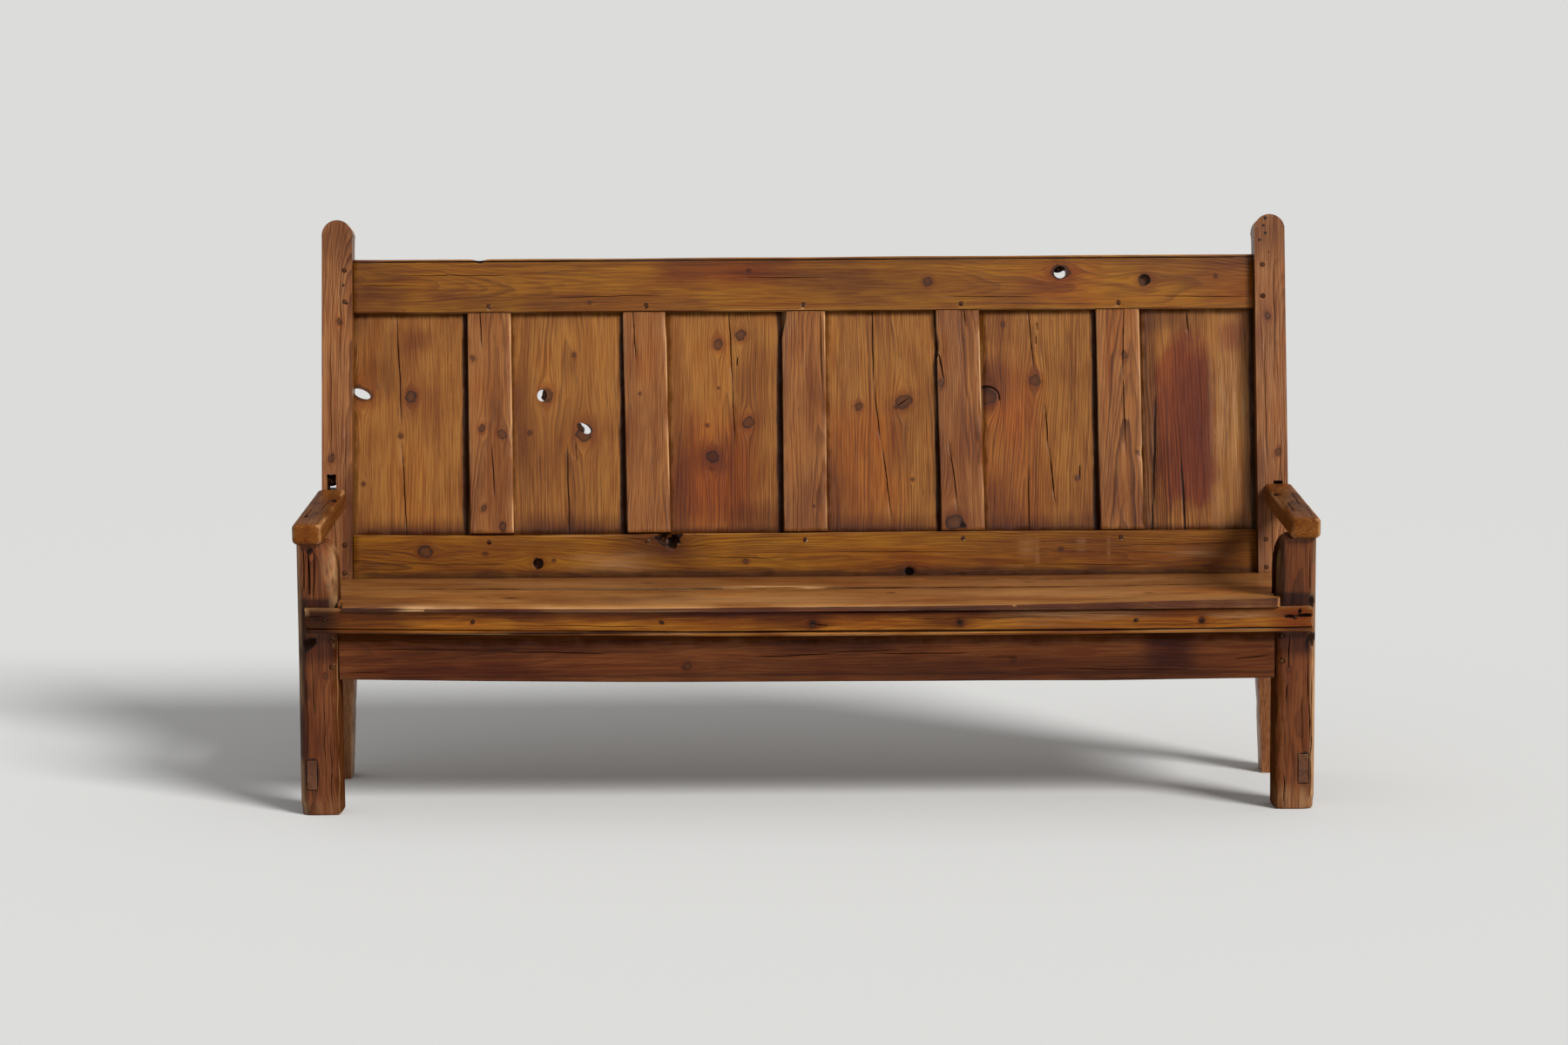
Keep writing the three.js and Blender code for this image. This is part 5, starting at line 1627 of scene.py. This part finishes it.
for side_name, side in SIDES:
    seed = 151.0 + side
    middle = side * PLUG_CENTRE
    block = Board(f"mortise_plug_{side_name}", "upright", "y", seed)
    block.round_arrises(lambda m, r: m.y < 1, 1.4, 2)
    block.slice("z", 60, 112, 8).slice("x", middle - 8, middle + 8, 8)
    block.weather(sides=0.6, face=0.6, ends=1.8, arris=0.8, lumps=0.04)
    block_pine = pine(
        f"plug wood, {side_name}", "upright", "y", "plug", (middle, 100), 2.2, seed=seed, gloss=0.55,
    )
    block.finish(block_pine)

# %% [markdown]
# The nails are hand-made, with small heads that have rusted brown. Their noise is the same from every
# side, because iron has no grain.

# %% Nails
IRON = srgb(44, 34, 30)
RUST = srgb(86, 48, 30)


def iron():
    """Hand-made iron, black where it is worn and brown where it has rusted."""
    material, tree, shader = new_material("rusted iron")
    across, depth, along = material_places(tree, "upright", "z")
    rust = fbm(tree, across * 0.7, depth * 0.7, along * 0.7, 4.0)
    colour = blend(IRON, RUST, smooth(rust, 0.4, 0.65))
    tree.links.new(colour.socket, shader.inputs["Base Color"])
    tree.links.new((rust * 0.4 + 0.4).socket, shader.inputs["Roughness"])
    shader.inputs["Metallic"].default_value = 0.7
    raise_skin(tree, shader, rust, 0.6)
    return material


iron_material = iron()
for number in range(1, 6):
    nail = Board(f"bead_nail_{number}", "upright", "y", 161.0 + number)
    nail.round_arrises(lambda m, r: m.y < -20, 1.0, 2)
    nail.weather(sides=0.2, face=0.2, ends=0.6, arris=0.3, lumps=0.1)
    nail.finish(iron_material)

# %% [markdown]
# ## Floor and light
# The bench stands on a plain pale floor under soft studio light. A broad, far lamp to the right of
# the camera gives the side light of the photograph, so that each muntin throws a shadow to its left,
# and a pale sky fills the rest. Both are set so that a colour renders about as it is written. The
# sky is palest at the horizon, where it is the background, and the floor fades into that colour.

# %% Floor
FLOOR_HALF = 40.0
FADE_START = 2.5
FADE_END = 8.0
FLOOR_TONE = srgb(213, 213, 211)
BACKGROUND = srgb(220, 220, 218)
BLACK = (0, 0, 0, 1)


def floor_material():
    """A pale floor that turns into the colour of the background further out, so no horizon shows."""
    material, tree, shader = new_material("pale floor")
    x, y, _ = parted(tree, tree.nodes.new("ShaderNodeTexCoord").outputs["Object"])
    fade = smooth((x * x + y * y).math("SQRT"), FADE_START, FADE_END)
    tree.links.new(blend(FLOOR_TONE, BLACK, fade).socket, shader.inputs["Base Color"])
    tree.links.new(blend(BLACK, BACKGROUND, fade).socket, shader.inputs["Emission Color"])
    shader.inputs["Emission Strength"].default_value = 1.0
    shader.inputs["Specular IOR Level"].default_value = 0.0
    shader.inputs["Roughness"].default_value = 1.0
    return material


floor_bm = bmesh.new()
bmesh.ops.create_grid(floor_bm, x_segments=2, y_segments=2, size=FLOOR_HALF)
floor = stand(floor_bm, "floor", floor_material())
print("Floor of", 2 * FLOOR_HALF, "m, plain up to", FADE_START, "m from the bench")

# %% Light
KEY_STRENGTH = 3.5
KEY_WIDTH = radians(20)
KEY_SIDE = radians(44)
KEY_HEIGHT = radians(36)
LOW_SKY = (0.22, 0.22, 0.22, 1)
HIGH_SKY = (0.5, 0.5, 0.5, 1)

lamp_data = bpy.data.lights.new("key", "SUN")
lamp_data.energy = KEY_STRENGTH
lamp_data.angle = KEY_WIDTH
lamp = bpy.data.objects.new("key", lamp_data)
lamp.matrix_world = Matrix.Rotation(KEY_SIDE, 4, "Z") @ Matrix.Rotation(pi / 2 - KEY_HEIGHT, 4, "X")
bpy.context.scene.collection.objects.link(lamp)

world = bpy.data.worlds.new("studio")
bpy.context.scene.world = world
world.use_nodes = True
sky = world.node_tree
rise = parted(sky, sky.nodes.new("ShaderNodeTexCoord").outputs["Generated"])[2]
ceiling = blend(LOW_SKY, HIGH_SKY, smooth(rise, 0.15, 0.8))
backdrop = blend(BACKGROUND, ceiling, smooth(rise, 0.015, 0.12))
sky.links.new(backdrop.socket, sky.nodes["Background"].inputs["Color"])
print("Key light of strength", KEY_STRENGTH, "from", round(degrees(KEY_SIDE)), "degrees to the right")
